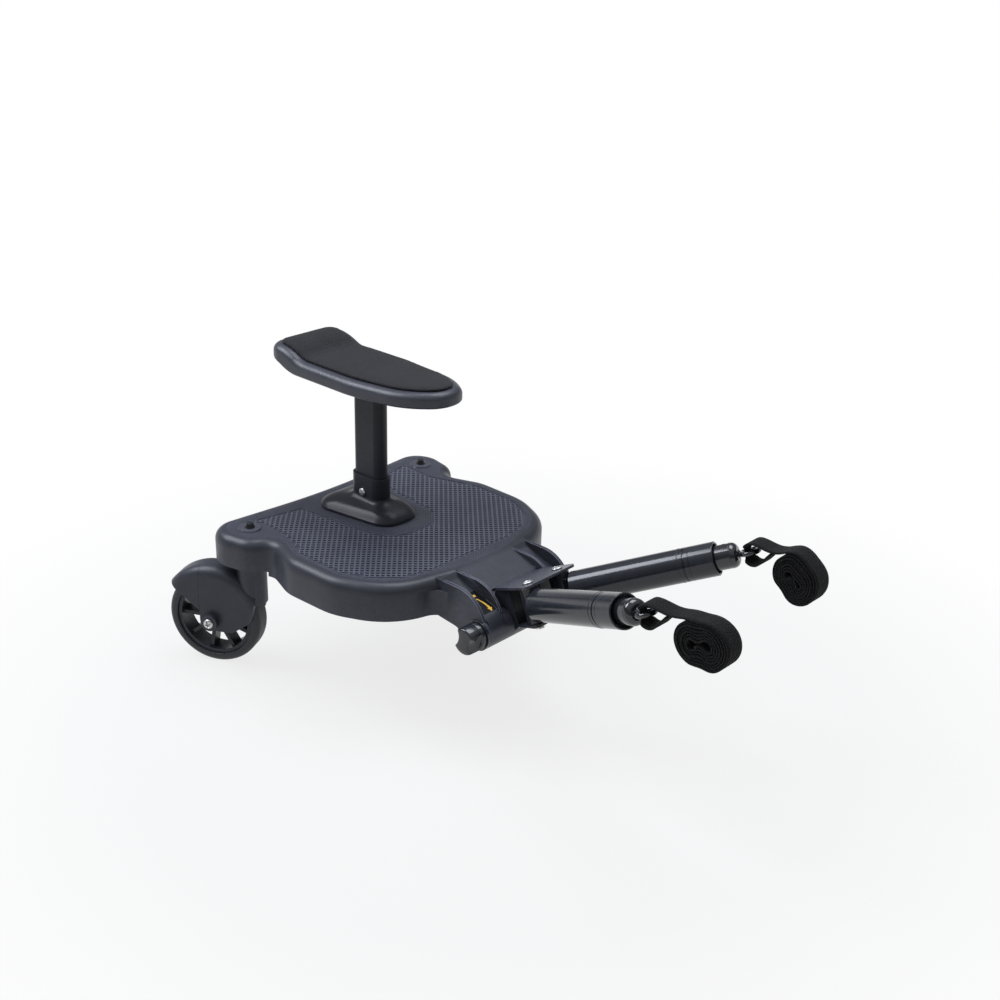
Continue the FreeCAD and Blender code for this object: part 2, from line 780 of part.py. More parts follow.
def make_caster(side):
    sign = SIDES[side]
    place, wheel = caster_place(side), wheel_place(side)
    ear_skirt = dim("ear_skirt_depth")
    trail, half = dim("caster_trail"), dim("fork_half_width")
    boss_face = half + dim("fork_boss_height")
    # The bush fills the ear, the kingpin turns in it and is fast in the fork's stem.
    bush = cut("bush_" + side,
               cylinder("bush_outer_" + side,
                        "dims.kingpin_dia / 2 + dims.running_clearance + dims.bush_wall",
                        "dims.ear_skirt_depth", (0, 0, -ear_skirt)),
               [hole("bush_bore_" + side, "dims.kingpin_dia / 2 + dims.running_clearance",
                     "dims.ear_skirt_depth", (0, 0, -ear_skirt))])
    keep(bush, "swivel_bush_" + side, BOARD * move(y=sign * dim("caster_span") / 2))
    washer = cut("washer_" + side,
                 cone("washer_disc_" + side, "dims.washer_dia / 2",
                      "dims.washer_dia / 2 - dims.washer_bevel",
                      "dims.washer_thickness"),
                 [hole("washer_bore_" + side, "dims.cap_thread_dia / 2 + dims.free_clearance",
                       "dims.washer_thickness")])
    keep(washer, "swivel_washer_" + side, BOARD * move(y=sign * dim("caster_span") / 2))
    pin_top = -dim("free_clearance")
    pin_bottom = -ear_skirt - dim("swivel_gap") - dim("kingpin_seat")
    pin = doc.addObject("Part::Cylinder", "pin_" + side)
    bind(pin, Radius="dims.kingpin_dia / 2",
         Height="dims.ear_skirt_depth + dims.swivel_gap + dims.kingpin_seat - dims.free_clearance")
    pin.Placement = move(z=pin_bottom)
    pin = cut("kingpin_solid_" + side, pin,
              [cylinder("pin_thread_" + side, "dims.cap_thread_dia / 2",
                        "dims.cap_thread_length + dims.cut_over",
                        (0, 0, pin_top - dim("cap_thread_length")))])
    keep(pin, "kingpin_" + side, place)
    head_seat = dim("washer_thickness") + dim("free_clearance")
    cap = fuse("cap_" + side,
               [cone("cap_head_" + side, "dims.cap_head_dia / 2", "dims.cap_head_top / 2",
                     "dims.cap_head_height", (0, 0, head_seat)),
                cylinder("cap_thread_" + side, "dims.cap_thread_dia / 2",
                         "dims.cap_thread_length + dims.washer_thickness + 2 * dims.free_clearance",
                         (0, 0, pin_top - dim("cap_thread_length")))])
    keep(cap, "cap_screw_" + side, place)
    # Fork: stem, hooded cheeks and axle bosses in one moulding.
    sector = hood_shell("fork_" + side, fork_side_view(sign))
    to_wheel = caster_place(side).inverse() * wheel
    sector.Placement = to_wheel
    stem_top = -ear_skirt - dim("swivel_gap")
    pieces = [sector, cylinder("stem_" + side, "dims.stem_dia / 2", "dims.stem_length",
                               (0, 0, stem_top - dim("stem_length")))]
    for across in (-1, 1):
        pieces.append(cylinder("fork_boss_%s_%d" % (side, across + 1), "dims.fork_boss_dia / 2",
                               "dims.fork_boss_height + dims.fork_cheek / 2",
                               (-trail, across * (half - dim("fork_cheek") / 2), -axle_drop),
                               (0, across, 0)))
    room = turned("stem_room_" + side, wheel_room())
    room.Placement = to_wheel
    tools = [room,
             cylinder("pin_seat_" + side, "dims.kingpin_dia / 2", "dims.kingpin_seat + dims.cut_over",
                      (0, 0, pin_bottom)),
             cylinder("axle_bore_" + side, "dims.axle_dia / 2", "4 * dims.fork_half_width",
                      (-trail, -2 * half, -axle_drop), (0, 1, 0))]
    keep(cut("fork_solid_" + side, fuse("fork_whole_" + side, pieces), tools), "caster_fork_" + side,
         place)
    keep(hood_shell("cover_" + side, cover_side_view(sign)), "fork_cover_" + side, wheel)
    # Axle bolt with its head on the outer boss and a nut on the inner one.
    axle = fuse("axle_" + side,
                [cylinder("axle_shank_" + side, "dims.axle_dia / 2",
                          "2 * dims.fork_half_width + 2 * dims.fork_boss_height + dims.axle_nut_height",
                          (0, 0, -boss_face - dim("axle_nut_height"))),
                 cone("axle_head_" + side, "dims.axle_head_dia / 2", "dims.axle_head_dia / 3",
                      "dims.axle_head_height", (0, 0, boss_face))])
    keep(axle, "axle_bolt_" + side, wheel)
    nut = cut("nut_" + side,
              hexagon("nut_hex_" + side, "dims.axle_nut_flats", "dims.axle_nut_height",
                      (0, 0, -boss_face), (0, 0, -1)),
              [hole("nut_bore_" + side, "dims.axle_dia / 2", "dims.axle_nut_height",
                    (0, 0, -boss_face - dim("axle_nut_height")))])
    keep(nut, "axle_nut_" + side, wheel)
    make_wheel(side, wheel)


def make_wheel(side, wheel):
    rim_radius = dim("wheel_dia") / 2 - dim("tyre_depth")
    half = dim("wheel_width") / 2
    radius, shoulder, bead = dim("wheel_dia") / 2, dim("tyre_shoulder"), dim("tyre_bead_radius")
    tyre = turned("tyre_" + side, rounded([(rim_radius, -half, bead), (radius, -half, shoulder),
                                           (radius, half, shoulder), (rim_radius, half, bead)]))
    keep(tyre, "wheel_tyre_" + side, wheel)
    ring = cut("rim_ring_" + side,
               cylinder("rim_outer_" + side, "dims.wheel_dia / 2 - dims.tyre_depth", "dims.rim_width",
                        (0, 0, -dim("rim_width") / 2)),
               [hole("rim_inner_" + side, "dims.wheel_dia / 2 - dims.tyre_depth - dims.rim_wall",
                     "dims.rim_width", (0, 0, -dim("rim_width") / 2))])
    pieces = [ring, cylinder("hub_" + side, "dims.hub_dia / 2", "dims.wheel_width", (0, 0, -half))]
    inner, outer = dim("hub_dia") / 2 - dim("spoke_root"), rim_radius - dim("rim_wall") / 2
    spoke_length = "(dims.wheel_dia - dims.hub_dia - dims.rim_wall) / 2 - dims.tyre_depth + dims.spoke_root"
    for number in range(int(dim("spoke_count"))):
        turn = move(angle=(number + 0.5) * 360 / dim("spoke_count"))
        pieces.append(box("spoke_%s_%d" % (side, number), spoke_length, "dims.spoke_width",
                          "dims.spoke_depth", ((inner + outer) / 2, 0, 0), turn))
    tools = [hole("hub_bore_" + side, "dims.axle_dia / 2 + dims.hub_relief", "dims.wheel_width",
                  (0, 0, -half))]
    rings = []
    for end in (-1, 1):
        tag = "%s_%d" % (side, end + 1)
        seat = (0, 0, end * (half - dim("bearing_width")))
        tools.append(cylinder("bearing_seat_" + tag, "dims.bearing_dia / 2",
                              "dims.bearing_width + dims.cut_over",
                              seat, (0, 0, end)))
        rings.append(cut("bearing_ring_" + tag,
                         cylinder("bearing_outer_" + tag, "dims.bearing_dia / 2", "dims.bearing_width",
                                  seat, (0, 0, end)),
                         [hole("bearing_bore_" + tag, "dims.axle_dia / 2 + dims.running_clearance",
                               "dims.bearing_width", seat, (0, 0, end))]))
    keep(cut("rim_solid_" + side, fuse("rim_whole_" + side, pieces), tools), "wheel_rim_" + side, wheel)
    keep(fuse("bearings_" + side, rings), "wheel_bearings_" + side, wheel)


# Seat, post and socket, about the post's axis on top of the deck

POST = BOARD * move(dim("post_x"))


def post_corners(grow):
    """Oblong section of the post, grown by a wall."""
    along, across = dim("post_length") / 2 + grow, dim("post_width") / 2 + grow
    radius = dim("post_corner") + grow
    return [(-along, -across, radius), (along, -across, radius), (along, across, radius),
            (-along, across, radius)]


def ring_wire(corners, height):
    """Closed wire of an outline at a height."""
    edges = [edge.toShape() for edge in rounded(corners)]
    wire = Part.Wire(Part.sortEdges(edges)[0])
    wire.Placement = move(z=height)
    return wire


def socket_blend(share):
    """Plan of the socket between its foot and its collar."""
    grown = post_corners(dim("collar_wall"))
    collar = [grown[3], grown[0], grown[1], grown[2]]
    return [tuple(a + (b - a) * share for a, b in zip(low, high))
            for low, high in zip(socket_corners(), collar)]


def screw_set(name, spots, size, head, length, low):
    """Upright screws with flat heads below a height."""
    screws = []
    for number, (along, across) in enumerate(spots):
        spot = (along, across, low)
        screws.append(fuse("%s_%d" % (name, number),
                           [cylinder("%s_shank_%d" % (name, number), size, length, spot),
                            cylinder("%s_head_%d" % (name, number), head, "dims.screw_head_height",
                                     spot,
                                     (0, 0, -1))]))
    return fuse(name + "_set", screws)


def make_socket():
    """Flared foot with a collar that the post stands in, its screws and the post's lock screw."""
    wall = dim("collar_wall")
    foot = prism("socket_foot", "XY_Plane", rounded(socket_corners()), "dims.socket_rim_height")
    # The foot domes up from its rim and sweeps into the collar.
    sections = [(socket_corners(), "socket_rim_height"),
                (inset(socket_corners(), dim("socket_shoulder")), "socket_shoulder_height"),
                (socket_blend(dim("socket_dome_share")), "socket_dome_height"),
                (socket_blend(dim("socket_flare_share")), "socket_flare_height"),
                (socket_blend(1), "socket_neck_height")]
    flare = doc.addObject("Part::Feature", "socket_flare")
    flare.Shape = Part.makeLoft([ring_wire(plan, dim(height)) for plan, height in sections], True,
                                False)
    collar = prism("socket_collar", "XY_Plane", rounded(post_corners(wall)), "dims.collar_height")
    well = prism("socket_well", "XY_Plane", rounded(post_corners(0)),
                 "dims.post_insert + dims.cut_over",
                 offset=dim("collar_height") - dim("post_insert"))
    lock_face = (-dim("lock_screw_back"), -dim("post_width") / 2 - wall, dim("lock_screw_height"))
    tools = [well, cylinder("lock_hole", "dims.lock_screw_dia / 2", "dims.collar_wall + dims.post_wall",
                            lock_face, (0, 1, 0))]
    for number, (along, across) in enumerate(socket_screw_spots()):
        tools.append(cylinder("socket_thread_%d" % number, "dims.socket_screw_dia / 2",
                              "dims.socket_screw_length - dims.deck_wall", (along, across, 0)))
    keep(cut("socket_solid", fuse("socket_whole", [foot, flare, collar]), tools), "post_socket", POST)
    keep(screw_set("socket_screw", socket_screw_spots(), "dims.socket_screw_dia / 2",
                   "dims.socket_screw_head / 2",
                   "dims.socket_screw_length", -dim("deck_wall")), "socket_screws", POST)
    lock = fuse("lock",
                [cylinder("lock_shank", "dims.lock_screw_dia / 2", "dims.collar_wall + dims.post_wall",
                                  lock_face, (0, 1, 0)),
                         cone("lock_head", "dims.lock_screw_head / 2", "dims.lock_screw_head / 3",
                              "dims.lock_screw_head_height", lock_face, (0, -1, 0))])
    keep(lock, "post_lock_screw", POST)


def make_post():
    """Hollow post with a flange under the seat."""
    foot = dim("collar_height") - dim("post_insert")
    flange_top, thick, wall = dim("seat_height"), dim("post_flange_thickness"), dim("post_wall")
    tube = prism("post_tube", "XY_Plane", rounded(post_corners(0)),
                 "dims.seat_height - dims.collar_height + dims.post_insert", offset=foot)
    along, across = dim("post_flange_length") / 2, dim("post_flange_width") / 2
    flange = [(x, y, dim("post_flange_radius"))
              for x, y in ((-along, -across), (along, -across), (along, across), (-along, across))]
    plate = prism("post_plate", "XY_Plane", rounded(flange), "dims.post_flange_thickness",
                  offset=flange_top - thick)
    tools = [prism("post_core", "XY_Plane", rounded(post_corners(-wall)),
                   "dims.seat_height + dims.cut_over",
                   offset=foot - dim("cut_over")),
             cylinder("post_lock_hole", "dims.lock_screw_dia / 2", "dims.collar_wall + dims.post_wall",
                      (-dim("lock_screw_back"), -dim("post_width") / 2 - dim("collar_wall"),
                       dim("lock_screw_height")), (0, 1, 0))]
    for number, (x, y) in enumerate(seat_screw_spots()):
        tools.append(hole("post_screw_hole_%d" % number, "dims.seat_screw_dia / 2",
                          "dims.post_flange_thickness",
                          (x, y, flange_top - thick)))
    keep(cut("post_solid", fuse("post_whole", [tube, plate]), tools), "seat_post", POST)


def seat_screw_spots():
    along, side = dim("seat_screw_along"), dim("seat_screw_side")
    return [(x, y) for x in (-along, along) for y in (-side, side)]


def seat_corners():
    """Plan of the seat: square rear with round corners, tapering to a round nose."""
    side, front = dim("seat_half_width"), dim("seat_front")
    return mirrored([(-dim("seat_rear"), -side + dim("seat_bulge_out"), dim("seat_rear_radius")),
                     (dim("seat_bulge"), -side - dim("seat_bulge_out"), dim("seat_bulge_radius")),
                     (front - dim("seat_cheek_back"), -side + dim("seat_cheek_in"),
                      dim("seat_cheek_radius")),
                     (front, -side + dim("seat_nose_in"), dim("seat_nose_radius"))])


def seat_line(height, lag):
    """One surface of the seat in side view, from the nose to the rear end.

    The front bends gently up to the nose and the rear rises in an S that starts later by a lag.
    """
    angle, radius = math.radians(dim("seat_rise_angle")), dim("seat_rise_radius")
    bow, tip = dim("seat_bow_radius") - height, math.radians(dim("seat_bow_angle"))
    level, rise = V(dim("seat_bow_start"), height, 0), V(-dim("seat_rise_start") - lag, height, 0)
    low, high = radius - height, radius + height

    def swing(start, size, share):
        """Point on an arc that leaves level ground, curving upwards; a negative size goes backwards."""
        return start + V(size * math.sin(share), abs(size) * (1 - math.cos(share)), 0)

    middle = swing(rise, -low, angle)
    end = middle + V(-high * math.sin(angle), high * (1 - math.cos(angle)), 0)
    bend = V(end.x + high * math.sin(angle / 2), end.y - high * (1 - math.cos(angle / 2)), 0)
    rear = V(-dim("seat_rear") - dim("seat_spare"), end.y, 0)
    return [Part.ArcOfCircle(swing(level, bow, tip), swing(level, bow, tip / 2), level),
            Part.LineSegment(level, rise),
            Part.ArcOfCircle(rise, swing(rise, -low, angle / 2), middle),
            Part.ArcOfCircle(middle, bend, end),
            Part.LineSegment(end, rear)]


def seat_layer(low, high, lag):
    """Side view of a layer of the seat between two heights."""
    under, upper = seat_line(low, lag), seat_line(high, 0)
    noses = [line[0].toShape().Vertexes for line in (under, upper)]
    nose = [max(pair, key=lambda vertex: vertex.X).Point for pair in noses]
    return under + upper + [Part.LineSegment(nose[0], nose[1]),
                            Part.LineSegment(under[-1].EndPoint, upper[-1].EndPoint)]


def facing(face):
    """Upward share of a face's normal at its middle."""
    first_u, last_u, first_v, last_v = face.ParameterRange
    return face.normalAt((first_u + last_u) / 2, (first_v + last_v) / 2).z


def has_edge(faces, edge):
    return any(edge.isSame(other) for face in faces for other in face.Edges)


def rounded_rim(name, base):
    """The seat with the rims of its upper and under faces rounded."""
    doc.recompute()
    faces = base.Shape.Faces
    sides = [face for face in faces if abs(facing(face)) < 1e-6]
    uppers = [face for face in faces if facing(face) > 1e-6]
    unders = [face for face in faces if facing(face) < -1e-6]
    obj = doc.addObject("Part::Fillet", name)
    obj.Base = base
    radii = []
    for number, edge in enumerate(base.Shape.Edges, start=1):
        for rim, alias in ((uppers, "seat_top_round"), (unders, "seat_under_round")):
            if has_edge(sides, edge) and has_edge(rim, edge):
                radii.append((number, dim(alias), dim(alias)))
    obj.Edges = radii
    return obj


def make_seat():
    """Seat shell and its thin pad, both following the raised rear end, and the screws from below."""
    top, pad = dim("seat_thickness"), dim("pad_thickness")
    place = POST * move(z=dim("seat_height"))
    wide, tall = "4 * dims.seat_half_width", "dims.seat_thickness + 6 * dims.cut_over"
    slab = prism("seat_slab", "XZ_Plane", seat_layer(0, top, dim("seat_under_lag")), wide,
                 symmetric=True)
    block = prism("seat_plan", "XY_Plane", rounded(seat_corners()), tall, offset=-dim("cut_over"))
    tools = []
    for number, (along, across) in enumerate(seat_screw_spots()):
        tools.append(cylinder("seat_thread_%d" % number, "dims.seat_screw_dia / 2",
                              "dims.seat_screw_length - dims.post_flange_thickness",
                              (along, across, 0)))
    shell = rounded_rim("seat_round", common("seat_whole", slab, block))
    keep(cut("seat_solid", shell, tools), "seat_shell", place)
    layer = prism("pad_slab", "XZ_Plane", seat_layer(top, top + pad, 0), wide, symmetric=True)
    plan = prism("pad_plan", "XY_Plane", rounded(inset(seat_corners(), dim("pad_inset"))), tall,
                 offset=-dim("cut_over"))
    keep(common("pad_solid", layer, plan), "seat_pad", place)
    keep(screw_set("seat_screw", seat_screw_spots(), "dims.seat_screw_dia / 2",
                   "dims.seat_screw_head / 2",
                   "dims.seat_screw_length", -dim("post_flange_thickness")), "seat_screws", place)


# Hinge bolt, knob and nut, about the hinge axis

def make_hinge():
    """Washer, knob, bolt and captive nut on the hinge axis."""
    outer, sideways = dim("cheek_outer"), (0, 1, 0)
    washer_face = -outer - dim("free_clearance")
    knob_face = washer_face - dim("knob_washer_thickness")
    knob_end = knob_face - dim("knob_base")
    nut_face = outer - dim("hinge_nut_height")
    washer = cut("knob_washer_solid",
                 cylinder("knob_washer_disc", "dims.knuckle_radius", "dims.knob_washer_thickness",
                          (0, knob_face, 0), sideways),
                 [hole("knob_washer_bore", "dims.hinge_bolt_dia / 2", "dims.knob_washer_thickness",
                       (0, knob_face, 0), sideways)])
    keep(washer, "knob_washer", HINGE)
    base = cylinder("knob_base_disc", "dims.knob_dia / 2", "dims.knob_base", (0, knob_end, 0), sideways)
    along, radius = dim("knob_bar_length") / 2, dim("knob_bar_width") / 2
    ends = [V(-along + radius, -radius, 0), V(along - radius, -radius, 0),
            V(along - radius, radius, 0), V(-along + radius, radius, 0)]
    grip = [Part.LineSegment(ends[0], ends[1]), Part.ArcOfCircle(ends[1], V(along, 0, 0), ends[2]),
            Part.LineSegment(ends[2], ends[3]), Part.ArcOfCircle(ends[3], V(-along, 0, 0), ends[0])]
    bar = prism("knob_bar", "XZ_Plane", grip, "dims.knob_bar_height + dims.knob_bar_sink",
                offset=-knob_end - dim("knob_bar_sink"))
    thread = cylinder("knob_thread", "dims.hinge_bolt_dia / 2", "dims.knob_base", (0, knob_end, 0),
                      sideways)
    knob = cut("knob_solid", fuse("knob_whole", [base, bar]), [thread])
    keep(knob, "hinge_knob", HINGE * move(axis=V(*sideways), angle=dim("knob_angle")))
    stack = "dims.free_clearance + dims.knob_washer_thickness + dims.knob_base"
    shank = cylinder("bolt_shank", "dims.hinge_bolt_dia / 2", "2 * dims.cheek_outer + " + stack,
                     (0, knob_end, 0), sideways)
    tip = cone("bolt_tip", "dims.hinge_bolt_dia / 2", "dims.hinge_bolt_dia / 2 - dims.bolt_tip",
               "dims.bolt_tip",
               (0, outer, 0), sideways)
    keep(fuse("hinge_bolt_solid", [shank, tip]), "hinge_bolt", HINGE)
    nut = cut("hinge_nut_solid",
              hexagon("hinge_nut_hex", "dims.hinge_nut_flats", "dims.hinge_nut_height",
                      (0, nut_face, 0), sideways),
              [hole("hinge_nut_bore", "dims.hinge_bolt_dia / 2 + dims.running_clearance",
                    "dims.hinge_nut_height", (0, nut_face, 0), sideways)])
    keep(nut, "hinge_nut", HINGE)


# Bracket between the deck's knuckles, about the hinge axis with X along the arms

def plate_corners(straight=()):
    """Plan of a bracket plate, widening towards the arms; straight holds the ends of parallel sides."""
    rear, front = dim("bracket_half_width"), dim("bracket_front_half_width")
    half = [(dim("bracket_start"), -rear, dim("bracket_rear_radius"))]
    half += [(along, -rear, dim("bracket_rear_radius")) for along in straight]
    return mirrored(half + [(dim("bracket_length"), -front, dim("bracket_front_radius"))])


def block_profile():
    """Side view of the block around the hinge barrel, up to the upper plate."""
    roof, floor = dim("plate_height"), -dim("floor_drop") - dim("plate_thickness")
    back, bend, length = -dim("bracket_back"), dim("bracket_bend"), dim("bracket_block_length")
    return rounded([(dim("bracket_start"), roof, 0), (back, dim("bracket_back_top"), bend),
                    (back, -dim("bracket_back_low"), bend), (0, -dim("bracket_belly"), bend),
                    (length, floor, 0), (length, roof, 0)])


def make_bracket():
    """Bracket with a floor and a screwed-on roof plate, the arms' pivot screws and the friction discs."""
    roof, thick, sideways = dim("plate_height"), dim("plate_thickness"), (0, 1, 0)
    under, half = -dim("floor_drop") - thick, dim("bracket_half_width")
    block = prism("bracket_block", "XZ_Plane", block_profile(), "2 * dims.bracket_half_width",
                  symmetric=True)
    barrel = cylinder("bracket_barrel", "dims.knuckle_radius", "2 * dims.bracket_half_width",
                      (0, -half, 0), sideways)
    # The floor stays between the knuckles until it is clear of them.
    floor_plan = plate_corners([dim("bracket_block_length")])
    floor = prism("bracket_floor", "XY_Plane", rounded(floor_plan), "dims.plate_thickness",
                  offset=under)
    tools = [hole("bracket_bore", "dims.hinge_bolt_dia / 2 + dims.sliding_clearance",
                  "2 * dims.bracket_half_width", (0, -half, 0), sideways)]
    stack = "dims.plate_height + dims.floor_drop + 2 * dims.plate_thickness + dims.pivot_nut_height"
    screws, nuts, plate_tools, discs = [], [], [], []
    for side, sign in SIDES.items():
        x, y = dim("pivot_x"), sign * dim("pivot_y")
        nut_low = under - dim("pivot_nut_height")
        tools.append(hole("floor_hole_" + side, "dims.pivot_dia / 2", "dims.plate_thickness",
                          (x, y, under)))
        plate_tools.append(hole("plate_hole_" + side, "dims.pivot_dia / 2", "dims.plate_thickness",
                                (x, y, roof)))
        shank = cylinder("pivot_shank_" + side, "dims.pivot_dia / 2", stack, (x, y, nut_low))
        head = cone("pivot_head_" + side, "dims.pivot_head_dia / 2", "dims.pivot_head_dia / 3",
                    "dims.pivot_head_height", (x, y, roof + thick))
        screws.append(fuse("pivot_" + side, [shank, head]))
        nuts.append(cut("pivot_nut_" + side,
                        hexagon("pivot_nut_hex_" + side, "dims.pivot_nut_flats",
                                "dims.pivot_nut_height",
                                (x, y, under), (0, 0, -1)),
                        [hole("pivot_nut_bore_" + side, "dims.pivot_dia / 2", "dims.pivot_nut_height",
                              (x, y, nut_low))]))
        discs.append(cut("disc_" + side,
                         cylinder("disc_outer_" + side, "dims.knuckle_radius", "dims.friction_disc",
                                  (0, sign * half, 0), (0, sign, 0)),
                         [hole("disc_bore_" + side, "dims.hinge_bolt_dia / 2 + dims.sliding_clearance",
                               "dims.friction_disc", (0, sign * half, 0), (0, sign, 0))]))
    keep(cut("bracket_solid", fuse("bracket_whole", [block, barrel, floor]), tools), "arm_bracket",
         BRACKET)
    plate = prism("bracket_roof", "XY_Plane", rounded(plate_corners()), "dims.plate_thickness",
                  offset=roof)
    keep(cut("bracket_plate_solid", plate, plate_tools), "bracket_plate", BRACKET)
    keep(fuse("pivot_screw_set", screws), "pivot_screws", BRACKET)
    keep(fuse("pivot_nut_set", nuts), "pivot_nuts", BRACKET)
    keep(fuse("friction_disc_set", discs), "friction_discs", BRACKET)


# Arms, about the pivot with X along the tube

def dome_edges():
    """Half section of the rod's rounded end."""
    side, bend = dim("rod_dia") / 2, dim("rod_dome_radius")
    foot, rim, shoulder, top = V(0, 0, 0), V(side, 0, 0), V(side - bend, bend, 0), V(0, bend, 0)
    middle = V(side - bend, 0, 0) + V(1, 1, 0).normalize() * bend
    return [Part.LineSegment(foot, rim), Part.ArcOfCircle(rim, middle, shoulder),
            Part.LineSegment(shoulder, top), Part.LineSegment(top, foot)]


def make_arm(side):
    """Tube with its pivot lug, twist collar, inner rod and eye."""
    place, along = arm_place(side), (1, 0, 0)
    start, end, collar_end = dim("tube_start"), dim("tube_end"), dim("collar_end")
    tail, rod_end = dim("rod_tail"), dim("rod_end")
    bore = "dims.tube_dia / 2 - dims.tube_wall"
    lug_height = "dims.plate_height + dims.floor_drop - 2 * dims.free_clearance"
    lug_low = -dim("floor_drop") - dim("arm_axis_height") + dim("free_clearance")
    groove_start = end - dim("tube_groove_back")
    pieces = [cylinder("tube_outer_" + side, "dims.tube_dia / 2", "dims.tube_end - dims.tube_start",
                       (start, 0, 0), along),
              cylinder("lug_round_" + side, "dims.lug_dia / 2", lug_height, (0, 0, lug_low)),
              box("lug_neck_" + side, "dims.tube_start + dims.lug_neck_over", "dims.lug_width",
                  "dims.lug_neck_height", ((start + dim("lug_neck_over")) / 2, 0, 0))]
    groove = cut("tube_groove_" + side,
                 cylinder("groove_outer_" + side, "dims.tube_dia / 2 + dims.cut_over",
                          "dims.tube_groove_width",
                          (groove_start, 0, 0), along),
                 [hole("groove_inner_" + side, "dims.tube_dia / 2 - dims.tube_groove",
                       "dims.tube_groove_width",
                       (groove_start, 0, 0), along)])
    tools = [cylinder("tube_bore_" + side, bore, "dims.tube_end - dims.tube_start",
                      (start + dim("tube_plug"), 0, 0), along),
             hole("lug_bore_" + side, "dims.pivot_dia / 2 + dims.running_clearance",
                  "dims.plate_height + dims.floor_drop", (0, 0, lug_low)),
             groove]
    keep(cut("tube_solid_" + side, fuse("tube_whole_" + side, pieces), tools), "arm_tube_" + side,
         place)
    # Twist collar with a wide mouth around the rod.
    ring = cut("collar_ring_" + side,
               cylinder("collar_outer_" + side, "dims.tube_dia / 2",
                        "dims.collar_end - dims.tube_end - dims.free_clearance",
                        (end + dim("free_clearance"), 0, 0), along),
               [hole("collar_bore_" + side, "dims.rod_dia / 2 + dims.sliding_clearance",
                     "dims.collar_end - dims.tube_end", (end, 0, 0), along),
                cylinder("collar_mouth_" + side, "dims.tube_dia / 2 - dims.collar_mouth_wall",
                         "dims.collar_mouth_depth + dims.cut_over",
                         (collar_end - dim("collar_mouth_depth"), 0, 0), along)])
    keep(ring, "twist_collar_" + side, place)
    # Inner rod with a domed end, a stop head at its tail and a peg hole.
    shank = cylinder("rod_shank_" + side, "dims.rod_dia / 2",
                     "dims.rod_end - dims.rod_tail - dims.rod_dome_radius",
                     (tail, 0, 0), along)
    dome = turned("rod_dome_" + side, dome_edges())
    dome.Placement = towards((rod_end - dim("rod_dome_radius"), 0, 0), along)
    head = cylinder("rod_head_" + side, bore + " - dims.free_clearance", "dims.rod_head_length",
                    (tail, 0, 0), along)
    core = cylinder("rod_core_" + side, "dims.rod_bore / 2",
                    "dims.rod_end - dims.rod_tail - dims.rod_end_wall + dims.cut_over",
                    (tail - dim("cut_over"), 0, 0), along)
    peg = cylinder("rod_peg_" + side, "dims.rod_hole_dia / 2", "dims.rod_hole_depth + dims.cut_over",
                   (dim("rod_hole_x"), 0, dim("rod_dia") / 2 - dim("rod_hole_depth")))
    keep(cut("rod_solid_" + side, fuse("rod_whole_" + side, [shank, dome, head]), [core, peg]),
         "arm_rod_" + side, place)
    eye = doc.addObject("Part::Torus", "eye_ring_" + side)
    bind(eye, Radius1="dims.eye_radius", Radius2="dims.eye_wire_dia / 2")
    eye.Placement = move(dim("eye_x"))
    neck = cone("eye_neck_" + side, "dims.eye_neck_dia / 2", "dims.eye_neck_tip / 2",
                "dims.eye_x - dims.eye_radius - dims.rod_end + dims.eye_neck_over", (rod_end, 0, 0),
                along)
    keep(fuse("eye_" + side, [eye, neck]), "rod_eye_" + side, place)


# Straps

def around(centre, radius, angle):
    """Point of a circle at an angle in radians."""
    return centre + V(math.cos(angle), math.sin(angle), 0) * radius


def strap_path(side):
    """Centre line of a strap in its own plane, from the free end of the loop to the roll's core.

    The loop goes through the eye, a straight run leads to the roll, and the roll winds inwards
    as half turns joined by straight runs. Each piece is ("arc", centre, radius, from, to)
    in radians or ("line", start, end).
    """
    radius, pitch = dim("strap_loop_radius"), dim("strap_pitch")
    rise, lean = math.radians(dim("strap_rise_" + side)), math.radians(dim("strap_tilt_" + side))
    under, entry = -math.radians(dim("strap_under_angle")), math.pi / 2 + rise
    loop = V(dim("strap_loop_x"), dim("strap_loop_z"), 0)
    # The under strand ends two pitches below the straight run.
    run_start = around(loop, radius, entry)
    run_end = run_start + V(math.cos(rise), math.sin(rise), 0) * dim("strap_run_" + side)
    square = V(-math.sin(rise), math.cos(rise), 0)
    low = around(loop, radius, under)
    way = V(-math.sin(under), math.cos(under), 0)
    reach = (square.dot(run_start - low) - 2 * pitch) / square.dot(way)
    path = [("line", low + way * reach, low),
            ("arc", loop, radius, under, entry - 2 * math.pi),
            ("line", run_start, run_end)]
    # The roll's long axis leans down, and the run meets its outer turn on a tangent.
    turns, length = int(dim("strap_turns")), dim("strap_core_length_" + side)
    outer = dim("strap_core_radius_" + side) + turns * pitch
    along = V(math.cos(lean), -math.sin(lean), 0)
    across = V(math.sin(lean), math.cos(lean), 0)
    left = around(run_end, -outer, entry)
    right = left + along * length + across * (pitch / 2)
    start = entry
    for half_turn in range(2 * turns):
        size = outer - half_turn * pitch / 2
        centre, way = (left, along) if half_turn % 2 == 0 else (right, -along)
        end = start - math.pi if half_turn else math.pi / 2 - lean
        path.append(("arc", centre, size, start, end))
        tail = around(centre, size, end)
        path.append(("line", tail, tail + way * length))
        start = end
    return path


